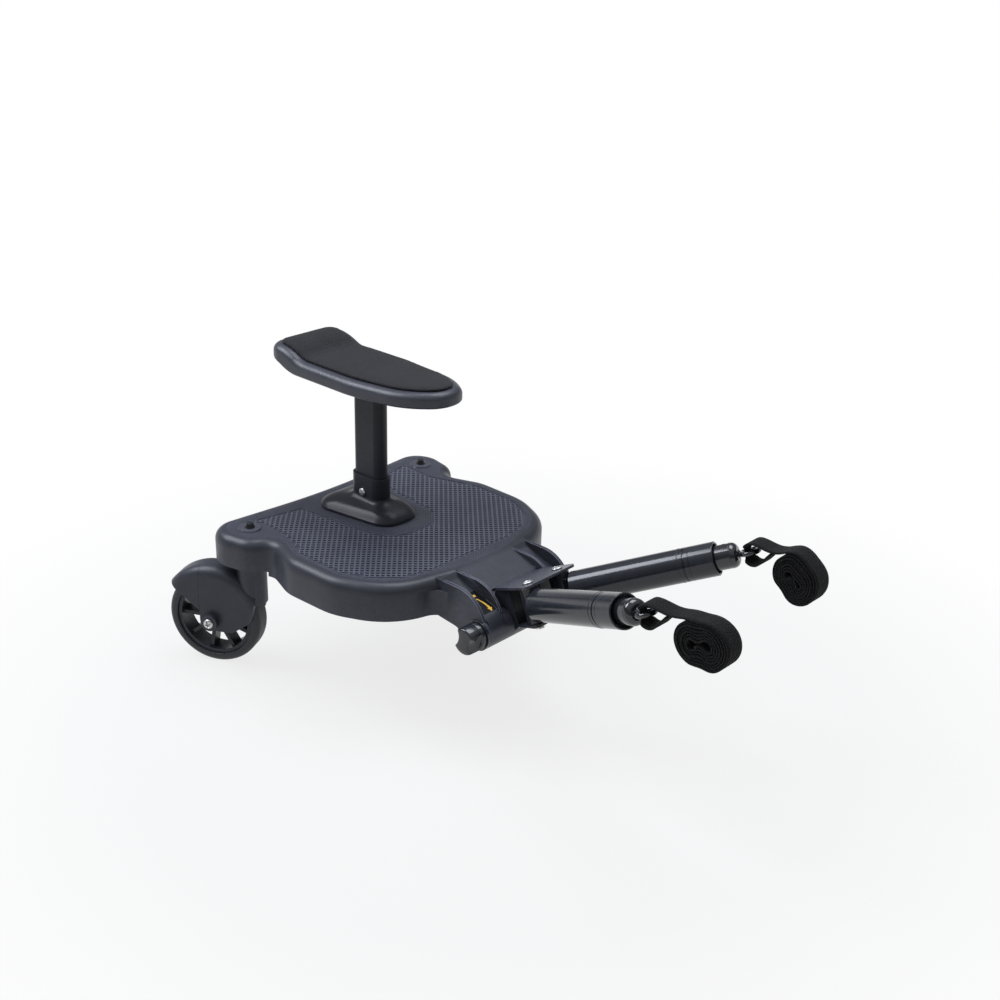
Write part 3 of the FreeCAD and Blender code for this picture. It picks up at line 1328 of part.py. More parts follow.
def strap_edges(path, offset):
    """The path moved sideways by an offset to its left."""
    edges = []
    for piece in path:
        if piece[0] == "line":
            way = (piece[2] - piece[1]).normalize()
            shift = V(-way.y, way.x, 0) * offset
            edges.append(Part.LineSegment(piece[1] + shift, piece[2] + shift))
        else:
            _, centre, radius, first, last = piece
            size = radius - offset if last > first else radius + offset
            points = [around(centre, size, angle) for angle in (first, (first + last) / 2, last)]
            edges.append(Part.ArcOfCircle(*points))
    return edges


def strap_points(path, step=1.0):
    """Points along the path with the length of path before each."""
    points, travelled = [], 0.0
    for piece in path:
        if piece[0] == "line":
            length = (piece[2] - piece[1]).Length
        else:
            length = piece[2] * abs(piece[4] - piece[3])
        count = max(2, int(length / step))
        for i in range(count):
            share = i / count
            if piece[0] == "line":
                point = piece[1] + (piece[2] - piece[1]) * share
            else:
                angle = piece[3] + (piece[4] - piece[3]) * share
                point = around(piece[1], piece[2], angle)
            points.append((travelled + share * length, point))
        travelled += length
    return points, travelled


def least_gap(path):
    """Least clear space between two turns of a strap."""
    points, length = strap_points(path)
    skip = 4 * dim("strap_thickness")
    spaces = [(p - q).Length for i, (s, p) in enumerate(points)
              for u, q in points[i + 1:] if u - s > skip]
    return min(spaces) - dim("strap_thickness"), length


def make_strap(side):
    """Webbing strap through the eye, rolled up at its free end."""
    path = strap_path(side)
    gap, length = least_gap(path)
    print("strap_%s: length %.0f mm, least gap between turns %.2f mm" % (side, length, gap))
    half = dim("strap_thickness") / 2
    one, other = strap_edges(path, half), strap_edges(path, -half)
    caps = [Part.LineSegment(one[0].StartPoint, other[0].StartPoint),
            Part.LineSegment(one[-1].EndPoint, other[-1].EndPoint)]
    roll = prism("strap_roll_" + side, "XZ_Plane", one + other + caps, "dims.strap_width",
                 symmetric=True)
    # Seen from above, the webbing narrows where it goes through the eye.
    neck, wide, spare = dim("strap_neck_width") / 2, dim("strap_width"), dim("strap_spare")
    plan = [(-spare, -neck, 0), (dim("strap_neck_end"), -neck, dim("strap_neck_radius")),
            (dim("strap_wide_start"), -wide, 0), (spare, -wide, 0)]
    waist = prism("strap_waist_" + side, "XY_Plane", rounded(mirrored(plan)), "dims.strap_spare",
                  offset=-spare / 2)
    eye = arm_place(side).multVec(V(dim("eye_x"), 0, 0))
    keep(common("strap_solid_" + side, roll, waist), "strap_" + side, Placement(eye, Rotation()))


def check_document():
    doc.recompute()
    for obj in doc.Objects:
        if "Invalid" in obj.State or "Error" in obj.State:
            raise RuntimeError("%s failed: %s" % (obj.Name, obj.State))
    for obj in PARTS:
        if obj.Shape.isNull() or not obj.Shape.isValid() or not obj.Shape.Solids:
            raise RuntimeError("%s has no valid solid" % obj.Label)


def write_parts():
    os.makedirs("parts", exist_ok=True)
    for obj in PARTS:
        obj.Shape.exportStep("parts/%s.step" % obj.Label)


make_deck()
for side_name in SIDES:
    make_caster(side_name)
make_socket()
make_post()
make_seat()
make_hinge()
make_bracket()
for side_name in SIDES:
    make_arm(side_name)
    make_strap(side_name)
check_document()
write_parts()
whole = FreeCAD.BoundBox()
for piece in PARTS:
    whole.add(piece.Shape.optimalBoundingBox(False))
print("size %.1f x %.1f x %.1f mm" % (whole.XLength, whole.YLength, whole.ZLength))
print("centre x %.2f, y %.2f, lowest %.2f" % (whole.Center.x, whole.Center.y, whole.ZMin))
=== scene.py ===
"""Looks of a ride-on buggy board with a seat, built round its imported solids.

Lengths are in metres and angles in degrees. Plans of the board are written in millimetres
from the middle of the line between the two swivel washers, on top of the deck.
"""
import json
import math

import bmesh
import bpy
import numpy as np
from mathutils import Matrix, Vector, noise


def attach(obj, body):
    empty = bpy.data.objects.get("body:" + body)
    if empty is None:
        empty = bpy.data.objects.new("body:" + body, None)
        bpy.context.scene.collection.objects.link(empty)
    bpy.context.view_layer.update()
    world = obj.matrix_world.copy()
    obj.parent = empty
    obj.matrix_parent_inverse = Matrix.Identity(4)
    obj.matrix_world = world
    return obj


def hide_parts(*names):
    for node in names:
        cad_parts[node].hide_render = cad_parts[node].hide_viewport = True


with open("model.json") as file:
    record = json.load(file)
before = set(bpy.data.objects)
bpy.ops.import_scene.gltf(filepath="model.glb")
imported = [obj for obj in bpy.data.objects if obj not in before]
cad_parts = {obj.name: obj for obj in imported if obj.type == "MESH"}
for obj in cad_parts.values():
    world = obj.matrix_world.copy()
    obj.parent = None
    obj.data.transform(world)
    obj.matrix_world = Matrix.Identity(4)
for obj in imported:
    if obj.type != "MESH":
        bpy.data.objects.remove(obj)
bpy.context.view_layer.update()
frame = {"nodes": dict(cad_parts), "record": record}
NODES = frame["nodes"]
SIDES = {"right": -1, "left": 1}
MM = 0.001


# Places of the main groups

def turn(axis, degrees):
    return Matrix.Rotation(math.radians(degrees), 4, axis)


def shift(x=0.0, y=0.0, z=0.0):
    """Translation given in millimetres."""
    return Matrix.Translation(Vector((x, y, z)) * MM)


DECK_HEIGHT = 192.0
BOARD = shift(-287.456, 0, DECK_HEIGHT)
POST = BOARD @ shift(63)
HINGE_X, HINGE_DROP = 329.0, 50.0
HINGE = BOARD @ shift(HINGE_X, 0, -HINGE_DROP)
BRACKET_RISE = 24.0
BRACKET = HINGE @ turn("Y", -BRACKET_RISE)
BRACKET_TOP = 42.5
PIVOT_X, PIVOT_Y = 50.0, 26.0
CASTER_HALF_SPAN, CASTER_YAW, CASTER_TRAIL, AXLE_DROP = 150.0, 27.0, 50.0, 129.0
ARM_HEIGHT = 16.3
ARM_YAW = {"right": 15.3, "left": 24.0}
EYE_REACH = 230.5


def arm_place(side):
    sign = SIDES[side]
    return BRACKET @ shift(PIVOT_X, sign * PIVOT_Y, ARM_HEIGHT) @ turn("Z", sign * ARM_YAW[side])


def wheel_place(side):
    """Wheel frame, with Z along the axle and pointing away from the deck."""
    sign = SIDES[side]
    caster = BOARD @ shift(0, sign * CASTER_HALF_SPAN) @ turn("Z", -sign * CASTER_YAW)
    return caster @ shift(-CASTER_TRAIL, 0, -AXLE_DROP) @ turn("X", -sign * 90)


# Shader nodes

class Shader:
    """A material's node tree, with short ways to add and join its nodes."""

    def __init__(self, name):
        self.material = bpy.data.materials.new(name)
        self.material.use_nodes = True
        self.tree = self.material.node_tree
        self.bsdf = self.tree.nodes["Principled BSDF"]
        self.where = self.add("ShaderNodeTexCoord").outputs["Object"]

    def add(self, kind, **values):
        node = self.tree.nodes.new(kind)
        for key, value in values.items():
            setattr(node, key, value)
        return node

    def join(self, out, into):
        self.tree.links.new(out, into)

    def noise(self, scale, detail=3.0, roughness=0.5, where=None):
        node = self.add("ShaderNodeTexNoise")
        node.inputs["Scale"].default_value = scale
        node.inputs["Detail"].default_value = detail
        node.inputs["Roughness"].default_value = roughness
        self.join(where or self.where, node.inputs["Vector"])
        return node.outputs["Fac"]

    def ramp(self, value, stops):
        node = self.add("ShaderNodeValToRGB")
        while len(node.color_ramp.elements) < len(stops):
            node.color_ramp.elements.new(0.5)
        for element, (position, colour) in zip(node.color_ramp.elements, stops):
            element.position = position
            element.color = (*colour, 1.0) if hasattr(colour, "__len__") else (colour, colour, colour, 1.0)
        self.join(value, node.inputs["Fac"])
        return node.outputs["Color"]

    def span(self, value, low, high, start=0.0, end=1.0):
        node = self.add("ShaderNodeMapRange")
        for key, number in (("From Min", start), ("From Max", end), ("To Min", low), ("To Max", high)):
            node.inputs[key].default_value = number
        self.join(value, node.inputs["Value"])
        return node.outputs["Result"]

    def math(self, operation, first, second):
        node = self.add("ShaderNodeMath", operation=operation)
        for socket, value in zip(node.inputs, (first, second)):
            if isinstance(value, (int, float)):
                socket.default_value = value
            else:
                self.join(value, socket)
        return node.outputs["Value"]

    def mix(self, share, first, second):
        node = self.add("ShaderNodeMix", data_type="RGBA")
        for socket, value in ((node.inputs[0], share), (node.inputs[6], first), (node.inputs[7], second)):
            if hasattr(value, "__len__"):
                socket.default_value = (*value, 1.0)
            else:
                self.join(value, socket)
        return node.outputs[2]

    def bump(self, height, depth, strength=1.0, normal=None):
        node = self.add("ShaderNodeBump")
        node.inputs["Strength"].default_value = strength
        node.inputs["Distance"].default_value = depth
        self.join(height, node.inputs["Height"])
        if normal:
            self.join(normal, node.inputs["Normal"])
        return node.outputs["Normal"]

    def soft_edges(self, radius):
        node = self.add("ShaderNodeBevel", samples=4)
        node.inputs["Radius"].default_value = radius
        return node.outputs["Normal"]

    def worn_and_highlit(self):
        """How exposed a point is: near 1 on sharp outer edges; used both for rubbed wear and for a painted
        edge highlight.
        """
        edge = self.add("ShaderNodeNewGeometry").outputs["Pointiness"]
        return self.span(edge, 0.0, 1.0, 0.515, 0.60)

    def set(self, **values):
        for key, value in values.items():
            socket = self.bsdf.inputs[key.replace("_", " ")]
            if isinstance(value, bpy.types.NodeSocket):
                self.join(value, socket)
            else:
                socket.default_value = value
        return self.material


def tint(colour, times):
    return tuple(channel * times for channel in colour)


def moulded(name, colour, rough, grain=900.0, depth=0.00006, edge=0.0006, gloss=0.3, coat=0.0,
            painted_shade_heights=None):
    """Injection-moulded plastic: spark-eroded grain, slight flow mottle, and edges lightened both as rubbed
    wear and as a painted highlight.

    The last argument gives the heights over the deck between which hollows, painted dark as shade, clear to
    the plastic's own colour.
    """
    shader = Shader(name)
    mottle = shader.noise(38.0, 4.0, 0.6)
    body = shader.ramp(mottle, [(0.30, tint(colour, 0.86)), (0.70, tint(colour, 1.14))])
    # Sharp edges lightened in patches: partly rubbed wear, partly a painted highlight along the edges.
    rubbed_and_highlit = shader.math("MULTIPLY", shader.worn_and_highlit(), shader.noise(160.0, 3.0))
    body = shader.mix(rubbed_and_highlit, body, tint(colour, 2.1))
    fine = shader.noise(grain, 2.0)
    normal = shader.bump(fine, depth, 0.5, shader.soft_edges(edge))
    # Painted shade: below these heights over the deck the colour darkens to 0.14 of itself, as shade in the
    # hollows.
    if painted_shade_heights:
        split = shader.add("ShaderNodeSeparateXYZ")
        shader.join(shader.where, split.inputs[0])
        heights = [(DECK_HEIGHT + height) * MM for height in painted_shade_heights]
        body = shader.mix(shader.span(split.outputs["Z"], 0.0, 1.0, *heights), tint(colour, 0.14), body)
    patchy = shader.span(shader.noise(70.0, 4.0), rough - 0.05, rough + 0.06)
    return shader.set(Base_Color=body, Roughness=patchy, Normal=normal, Specular_IOR_Level=gloss,
                      Coat_Weight=coat, Coat_Roughness=0.12)


def metal(name, colour, rough, scale=700.0):
    """Plated steel with fine scratches and a little tarnish."""
    shader = Shader(name)
    patch = shader.noise(120.0, 5.0, 0.6)
    body = shader.ramp(patch, [(0.35, tint(colour, 0.82)), (0.70, colour)])
    brushed = shader.noise(scale, 2.0)
    return shader.set(Base_Color=body, Metallic=1.0,
                      Roughness=shader.span(patch, rough - 0.06, rough + 0.08),
                      Normal=shader.bump(brushed, 0.00003, 0.4, shader.soft_edges(0.0003)))


def rubber(name, colour):
    """Tyre rubber with a bloom and fine scuffs."""
    shader = Shader(name)
    bloom = shader.noise(55.0, 5.0, 0.65)
    body = shader.ramp(bloom, [(0.30, tint(colour, 0.8)), (0.75, tint(colour, 1.3))])
    scuff = shader.noise(1400.0, 3.0)
    return shader.set(Base_Color=body, Roughness=shader.span(bloom, 0.48, 0.62),
                      Normal=shader.bump(scuff, 0.00008, 0.6))


def pad_cloth(name, colour):
    """Brushed knit over thin foam."""
    shader = Shader(name)
    knit = shader.add("ShaderNodeTexVoronoi")
    knit.inputs["Scale"].default_value = 1150.0
    shader.join(shader.where, knit.inputs["Vector"])
    lint = shader.noise(260.0, 5.0, 0.7)
    wear = shader.noise(22.0, 3.0)
    body = shader.ramp(lint, [(0.30, tint(colour, 0.75)), (0.72, tint(colour, 1.35))])
    body = shader.mix(shader.span(wear, 0.0, 0.35, 0.45, 0.75), body, tint(colour, 1.5))
    height = shader.math("ADD", knit.outputs["Distance"], shader.math("MULTIPLY", lint, 0.8))
    return shader.set(Base_Color=body, Roughness=0.92, Sheen_Weight=0.06, Sheen_Roughness=0.5,
                      Specular_IOR_Level=0.2, Normal=shader.bump(height, 0.00035, 0.7))


def webbing_cloth(name, colour):
    """Hook-and-loop webbing: matted loops in rows, with stray light fibres."""
    shader = Shader(name)
    loops = shader.add("ShaderNodeTexVoronoi")
    loops.inputs["Scale"].default_value = 620.0
    shader.join(shader.where, loops.inputs["Vector"])
    fibre = shader.noise(1500.0, 4.0, 0.7)
    tangle = shader.noise(330.0, 5.0, 0.75)
    body = shader.ramp(tangle, [(0.30, tint(colour, 0.6)), (0.62, colour), (0.80, tint(colour, 2.4))])
    body = shader.mix(shader.span(fibre, 0.0, 0.4, 0.58, 0.8), body, tint(colour, 2.2))
    height = shader.math("ADD", loops.outputs["Distance"], shader.math("MULTIPLY", tangle, 1.2))
    return shader.set(Base_Color=body, Roughness=0.95, Sheen_Weight=0.07, Sheen_Roughness=0.4,
                      Specular_IOR_Level=0.2, Normal=shader.bump(height, 0.0010, 0.9))


def printed(name, colour, gloss):
    """Screen-printed film, slightly uneven."""
    shader = Shader(name)
    patch = shader.noise(400.0, 4.0)
    return shader.set(Base_Color=shader.ramp(patch, [(0.3, tint(colour, 0.85)), (0.7, colour)]),
                      Roughness=shader.span(patch, 0.3, 0.42), Normal=shader.bump(patch, 0.00003, 0.3),
                      Specular_IOR_Level=gloss)


SLATE = (0.0245, 0.0267, 0.0355)
BLACK = (0.0100, 0.0115, 0.0155)
MATERIALS = {
    "deck_plastic": moulded("deck_plastic", tint(SLATE, 1.1), 0.37, gloss=0.32),
    "caster_plastic": moulded("caster_plastic", tint(SLATE, 1.1), 0.40, gloss=0.35),
    "post_plastic": moulded("post_plastic", tint(SLATE, 0.55), 0.34, gloss=0.20),
    "seat_plastic": moulded("seat_plastic", tint(SLATE, 1.3), 0.38, gloss=0.4),
    "seat_fabric": pad_cloth("seat_fabric", (0.013, 0.013, 0.015)),
    "tyre_rubber": rubber("tyre_rubber", (0.019, 0.021, 0.026)),
    "rim_plastic": moulded("rim_plastic", tint(SLATE, 0.75), 0.34),
    "steel": metal("steel", (0.78, 0.77, 0.75), 0.22),
    "zinc_steel": metal("zinc_steel", (0.62, 0.62, 0.62), 0.34),
    "black_steel": metal("black_steel", (0.10, 0.105, 0.120), 0.38),
    "bearing_plastic": moulded("bearing_plastic", (0.30, 0.30, 0.29), 0.45),
    "knob_plastic": moulded("knob_plastic", BLACK, 0.20, depth=0.00003, gloss=0.5, coat=0.2),
    "bracket_plastic": moulded("bracket_plastic", tint(BLACK, 1.2), 0.32, depth=0.00003, gloss=0.4),
    "tube_plastic": moulded("tube_plastic", tint(BLACK, 1.1), 0.15, depth=0.00002, gloss=0.4, coat=0.1),
    "rod_plastic": moulded("rod_plastic", BLACK, 0.12, depth=0.00002, gloss=0.5, coat=0.4),
    "strap_webbing": webbing_cloth("strap_webbing", (0.0062, 0.0062, 0.0070)),
}
# Painted light and shade: the lattice and dimple tops are much lighter copies of the deck plastic, standing
# in for light on raised tops, and their hollows are painted dark as shade.
DIMPLED_PAINTED_LIGHT_AND_SHADE = moulded("deck_pitted", tint(SLATE, 2.0), 0.42, edge=0.0002, painted_shade_heights=(0.05, 0.25))
TREAD_PAINTED_LIGHT_AND_SHADE = moulded("deck_studded", tint(SLATE, 2.5), 0.38, edge=0.0002, painted_shade_heights=(-0.5, -0.2))
GROUND = moulded("deck_ground", tint(SLATE, 1.2), 0.45, edge=0.0002)
# Painted highlight: a very pale copy of the deck plastic for the thin beads along the neck's rib and leaf
# edges.
RIDGE_PAINTED_HIGHLIGHT = moulded("ridge_painted_highlight", tint(SLATE, 3.4), 0.30, edge=0.0002, gloss=0.5)
CAP = moulded("cap_black", tint(BLACK, 0.7), 0.25, depth=0.00003, gloss=0.5)
WASHER = moulded("washer_grey", tint(SLATE, 1.3), 0.30, gloss=0.5)
PLATE = moulded("plate_plastic", tint(SLATE, 1.1), 0.28, depth=0.00003, gloss=0.5)
YELLOW = printed("label_yellow", (0.62, 0.38, 0.05), 0.3)
LABEL = printed("label_black", (0.008, 0.008, 0.009), 0.1)

OWN_LOOKS = {"cap_screw_right": CAP, "cap_screw_left": CAP, "bracket_plate": PLATE,
             "swivel_washer_right": WASHER, "swivel_washer_left": WASHER}
for entry in frame["record"]["subparts"]:
    for holder in NODES[entry["node"]].material_slots:
        holder.material = OWN_LOOKS.get(entry["node"], MATERIALS[entry["material_slot"]])


# Ways to make a piece

def plain_mesh(points, faces):
    mesh = bpy.data.meshes.new("shape")
    mesh.from_pydata([tuple(point) for point in points], [], faces)
    return mesh


def piece(name, points, faces, material, body, slot=None, smooth=True):
    return finished(name, plain_mesh(points, faces), material, body, smooth)


def finished(name, mesh, material, body, smooth=True):
    mesh.materials.clear()
    mesh.materials.append(material)
    mesh.polygons.foreach_set("use_smooth", [smooth] * len(mesh.polygons))
    mesh.update()
    obj = bpy.data.objects.new(name, mesh)
    bpy.context.scene.collection.objects.link(obj)
    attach(obj, body)
    return obj


def baked(obj):
    """Mesh of an object with its modifiers applied; the object itself goes."""
    graph = bpy.context.evaluated_depsgraph_get()
    mesh = bpy.data.meshes.new_from_object(obj.evaluated_get(graph))
    bpy.data.objects.remove(obj)
    return mesh


def around(centre, radius, angle):
    return centre + Vector((math.cos(angle), math.sin(angle))) * radius


def loose(name, mesh):
    obj = bpy.data.objects.new(name, mesh)
    bpy.context.scene.collection.objects.link(obj)
    return obj


def crisp(obj, degrees):
    """Keeps the edges sharper than an angle from being shaded as one round."""
    obj.modifiers.new("edges", "EDGE_SPLIT").split_angle = math.radians(degrees)


def lofted(count, rings):
    """Faces of a closed solid whose points come ring after ring, each with the same count of points."""
    faces = []
    for first in range(0, (rings - 1) * count, count):
        for i in range(count):
            j = (i + 1) % count
            faces.append((first + i, first + j, first + count + j, first + count + i))
    return faces + [tuple(range(count))[::-1], tuple(range((rings - 1) * count, rings * count))]


def lathe(profile, place, steps=48):
    """Points and faces of a solid turned about the place's Z axis, from (radius, height) in millimetres."""
    points = []
    for radius, height in profile:
        for step in range(steps):
            spot = around(Vector((0, 0)), radius, 2 * math.pi * step / steps)
            points.append(place @ (Vector((spot.x, spot.y, height)) * MM))
    return points, lofted(steps, len(profile))


def ring_tube(centre_radius, wire, height, place, steps=64, across=12):
    """Points and faces of a thin round ring about the place's Z axis."""
    points, faces = [], []
    for i in range(steps):
        a, after = 2 * math.pi * i / steps, (i + 1) % steps
        for j in range(across):
            b, k = 2 * math.pi * j / across, (j + 1) % across
            radius = centre_radius + wire * math.cos(b)
            points.append(place @ (Vector((radius * math.cos(a), radius * math.sin(a),
                                           height + wire * math.sin(b))) * MM))
            faces.append((i * across + j, after * across + j, after * across + k, i * across + k))
    return points, faces


def together(parts):
    """One list of points and faces from several."""
    points, faces = [], []
    for more_points, more_faces in parts:
        first = len(points)
        points += more_points
        faces += [tuple(first + index for index in face) for face in more_faces]
    return points, faces


# Plans of the deck

def mirrored(half):
    return half + [(x, -y, radius) for x, y, radius in reversed(half) if y]


def inset(corners, wall, front_wall=None):
    """The plan moved inwards; the straight front edge may move by another distance."""
    front = max(corner[0] for corner in corners)
    lines = []
    for start, end in zip(corners, corners[1:] + corners[:1]):
        way = Vector((end[0] - start[0], end[1] - start[1])).normalized()
        at_front = front_wall is not None and start[0] == front and end[0] == front
        normal = Vector((-way.y, way.x))
        lines.append((Vector(start[:2]) + normal * (front_wall if at_front else wall), way))
    moved = []
    for number, corner in enumerate(corners):
        (p, d), (q, e) = lines[number - 1], lines[number]
        bend = d.x * e.y - d.y * e.x
        share = ((q.x - p.x) * e.y - (q.y - p.y) * e.x) / bend
        spot = p + d * share
        radius = corner[2] and max(0.3, corner[2] - wall if bend > 0 else corner[2] + wall)
        moved.append((spot.x, spot.y, radius))
    return moved


def outline(corners, steps=12):
    """Points of a plan with its corners rounded."""
    points = []
    for number, (x, y, radius) in enumerate(corners):
        spot = Vector((x, y))
        if not radius:
            points.append(spot)
            continue
        before = (Vector(corners[number - 1][:2]) - spot).normalized()
        after = (Vector(corners[(number + 1) % len(corners)][:2]) - spot).normalized()
        half = before.angle(after) / 2
        start = spot + before * (radius / math.tan(half))
        end = spot + after * (radius / math.tan(half))
        centre = spot + (before + after).normalized() * (radius / math.sin(half))
        first, last = start - centre, end - centre
        sweep = first.angle_signed(last)
        for step in range(steps + 1):
            angle = -sweep * step / steps
            points.append(centre + Matrix.Rotation(angle, 2) @ first)
    return points


def inside(spots, loop):
    """Which spots lie within a loop, and how far each is from it."""
    spots, loop = np.array(spots, float), np.array([tuple(p) for p in loop], float)
    after = np.roll(loop, -1, axis=0)
    x, y = spots[:, 0:1], spots[:, 1:2]
    crosses = (loop[:, 1] > y) != (after[:, 1] > y)
    rise = np.where(after[:, 1] == loop[:, 1], 1e-9, after[:, 1] - loop[:, 1])
    at = loop[:, 0] + (y - loop[:, 1]) * (after[:, 0] - loop[:, 0]) / rise
    within = (crosses & (x < at)).sum(axis=1) % 2 == 1
    way = after - loop
    size = np.maximum((way ** 2).sum(axis=1), 1e-12)
    share = np.clip(((x - loop[:, 0]) * way[:, 0] + (y - loop[:, 1]) * way[:, 1]) / size, 0, 1)
    gap = np.hypot(x - loop[:, 0] - share * way[:, 0], y - loop[:, 1] - share * way[:, 1])
    return within, gap.min(axis=1)


DECK_PLAN = mirrored([(-32, 0, 900), (-47, -172, 34), (-14, -191, 40), (32, -181, 30), (48, -155, 20),
                      (100, -174, 60), (178, -172, 90), (247, -140, 90), (264, -78, 0)])
FIELD_INSET = 21.0
FIELD_DROP = 0.7
FIELD_MIDDLE, FIELD_REACH = 110.0, 290.0
LATTICE_PITCH, LATTICE_HOLLOW, LATTICE_FLOOR, LATTICE_TOP = 6.3, (2.0, 1.5), -0.55, 0.1
DIMPLE_PITCH, DIMPLE_HOLLOW, DIMPLE_FLOOR, DIMPLE_TOP = 3.0, (0.85, 0.85), 0.07, 0.3
EDGE_RADIUS = 14.0


def field_loop():
    """Edge of the sunken field, round the surround of the seat socket."""
    border = inset(DECK_PLAN, FIELD_INSET)
    front = border[8][:2] + (60,)
    half = [(150, -47, 42), (-2, -64, 5), (-15, -133, 3)] + border[4:8] + [front]
    return outline(mirrored(half))


def cups(spots, half, hollow, slant, floor, low, top):
    """Points and faces of square cells in a lattice, each with a hollow that is open at the top."""
    along = Vector((math.cos(slant), math.sin(slant), 0))
    across = Vector((-along.y, along.x, 0))
    order = ((1, 1), (-1, 1), (-1, -1), (1, -1))
    parts = []
    for x, y in spots:
        corners = []
        for (u, v), height in (((half, half), low), ((half, half), top), (hollow, top), (hollow, floor)):
            for a, b in order:
                spot = Vector((x, y, height)) + along * (a * u) + across * (b * v)
                corners.append(BOARD @ (spot * MM))
        parts.append((corners, lofted(4, 4)))
    return together(parts)


def lattice_spots(pitch, slant):
    """Middles of the cells of a square lattice over the deck."""
    count = int(FIELD_REACH / pitch)
    reach = range(-count, count + 1)
    way = Vector((math.cos(slant), math.sin(slant))) * pitch
    return [(FIELD_MIDDLE + i * way.x - j * way.y, i * way.y + j * way.x) for i in reach for j in reach]


def make_tread():
    """Raised lattice at 45 degrees to the deck, with a small hollow in each cell whose floor is painted dark
    as shade.
    """
    field = field_loop()
    ground = filled([field], -FIELD_DROP - 0.05, 0.12)
    finished("deck_field", ground, GROUND, "deck", smooth=False)
    slant, half = math.radians(45), LATTICE_PITCH / 2
    spots = lattice_spots(LATTICE_PITCH, slant)
    within, gap = inside(spots, field)
    used = [spot for spot, ok, space in zip(spots, within, gap) if ok and space > half]
    points, faces = cups(used, half, LATTICE_HOLLOW, slant, LATTICE_FLOOR, -FIELD_DROP - 0.02, LATTICE_TOP)
    piece("deck_tread", points, faces, TREAD_PAINTED_LIGHT_AND_SHADE, "deck", "deck_plastic", smooth=False)


def filled(loops, height, thick):
    """Flat plate between closed loops, standing on the deck."""
    curve = bpy.data.curves.new("plate", "CURVE")
    curve.dimensions = "2D"
    curve.fill_mode = "BOTH"
    curve.extrude = thick / 2 * MM
    for loop in loops:
        spline = curve.splines.new("POLY")
        spline.points.add(len(loop) - 1)
        for point, spot in zip(spline.points, loop):
            point.co = (spot[0] * MM, spot[1] * MM, 0, 1)
        spline.use_cyclic_u = True
    obj = loose("plate", curve)
    bpy.context.view_layer.update()
    mesh = bpy.data.meshes.new_from_object(obj)
    bpy.data.objects.remove(obj)
    mesh.transform(BOARD @ shift(0, 0, height + thick / 2))
    return mesh


def make_border():
    """Finely dimpled band round the field and the socket, up to where the deck's edge rolls over."""
    rim, field = outline(inset(DECK_PLAN, EDGE_RADIUS + 0.4, 1.2)), field_loop()
    ground = filled([rim, field], -0.03, 0.08)
    finished("deck_border", ground, GROUND, "deck", smooth=False)
    half = DIMPLE_PITCH / 2
    spots = lattice_spots(DIMPLE_PITCH, 0.0)
    in_rim, rim_gap = inside(spots, rim)
    in_field, field_gap = inside(spots, field)
    free = in_rim & ~in_field & (np.minimum(rim_gap, field_gap) > 1.3 * half)
    used = [spot for spot, ok in zip(spots, free) if ok]
    points, faces = cups(used, half, DIMPLE_HOLLOW, 0.0, DIMPLE_FLOOR, 0.02, DIMPLE_TOP)
    piece("deck_dimples", points, faces, DIMPLED_PAINTED_LIGHT_AND_SHADE, "deck", "deck_plastic", smooth=False)


make_tread()
make_border()


# Straps of hook-and-loop webbing

STRAPS = {"right": {"core": 4.8, "length": 17.0, "run": 57.0, "rise": 5.0, "lean": 0.0, "flat": 0.988,
                    "pinch": 4.2, "pinch_at": -3.0, "swell": 1.5},
          "left": {"core": 2.6, "length": 15.0, "run": 49.0, "rise": 4.0, "lean": 45.0, "flat": 0.880,
                   "pinch": 2.4, "pinch_at": 1.0, "swell": 6.0}}
STRAP_WIDTH, STRAP_THICKNESS, STRAP_PITCH, STRAP_TURNS = 24.0, 2.35, 2.95, 7
STRAP_NECK, STRAP_SAG = 5.0, 3.2
STRAP_LOOP, STRAP_LOOP_RADIUS, STRAP_UNDER = Vector((9.0, 2.5)), 13.0, math.radians(-38)


def arc_points(centre, radius, first, last):
    count = max(3, int(abs(last - first) / math.radians(9)), int(abs(last - first) * radius / 1.6))
    return [around(centre, radius, first + (last - first) * i / count) for i in range(count)]


def line_points(start, end):
    count = max(2, int((end - start).length / 2.0))
    return [start.lerp(end, i / count) for i in range(count)]


def strap_line(shape):
    """Middle line of a strap in its own plane: loop through the eye, straight run, then the roll inwards."""
    rise, lean = math.radians(shape["rise"]), math.radians(shape["lean"])
    entry = math.pi / 2 + rise
    run_start = around(STRAP_LOOP, STRAP_LOOP_RADIUS, entry)
    run_end = run_start + Vector((math.cos(rise), math.sin(rise))) * shape["run"]
    square = Vector((-math.sin(rise), math.cos(rise)))
    low = around(STRAP_LOOP, STRAP_LOOP_RADIUS, STRAP_UNDER)
    way = Vector((-math.sin(STRAP_UNDER), math.cos(STRAP_UNDER)))
    tail = low + way * ((square.dot(run_start - low) - 2 * STRAP_PITCH) / square.dot(way))
    points = line_points(tail, low)
    points += arc_points(STRAP_LOOP, STRAP_LOOP_RADIUS, STRAP_UNDER, entry - 2 * math.pi)
    run = line_points(run_start, run_end)
    for i, spot in enumerate(run):
        points.append(spot - square * STRAP_SAG * math.sin(math.pi * i / len(run)) ** 2)
    outer = shape["core"] + STRAP_TURNS * STRAP_PITCH
    along = Vector((math.cos(lean), -math.sin(lean)))
    across = Vector((math.sin(lean), math.cos(lean)))
    left = around(run_end, -outer, entry)
    right = left + along * shape["length"] + across * (STRAP_PITCH / 2)
    start = entry
    for half_turn in range(2 * STRAP_TURNS):
        size = outer - half_turn * STRAP_PITCH / 2
        centre, way = (left, along) if half_turn % 2 == 0 else (right, -along)
        end = start - math.pi if half_turn else math.pi / 2 - lean
        points += arc_points(centre, size, start, end)
        last = around(centre, size, end)
        points += line_points(last, last + way * shape["length"])
        start = end
    return points, (left + right) / 2, outer


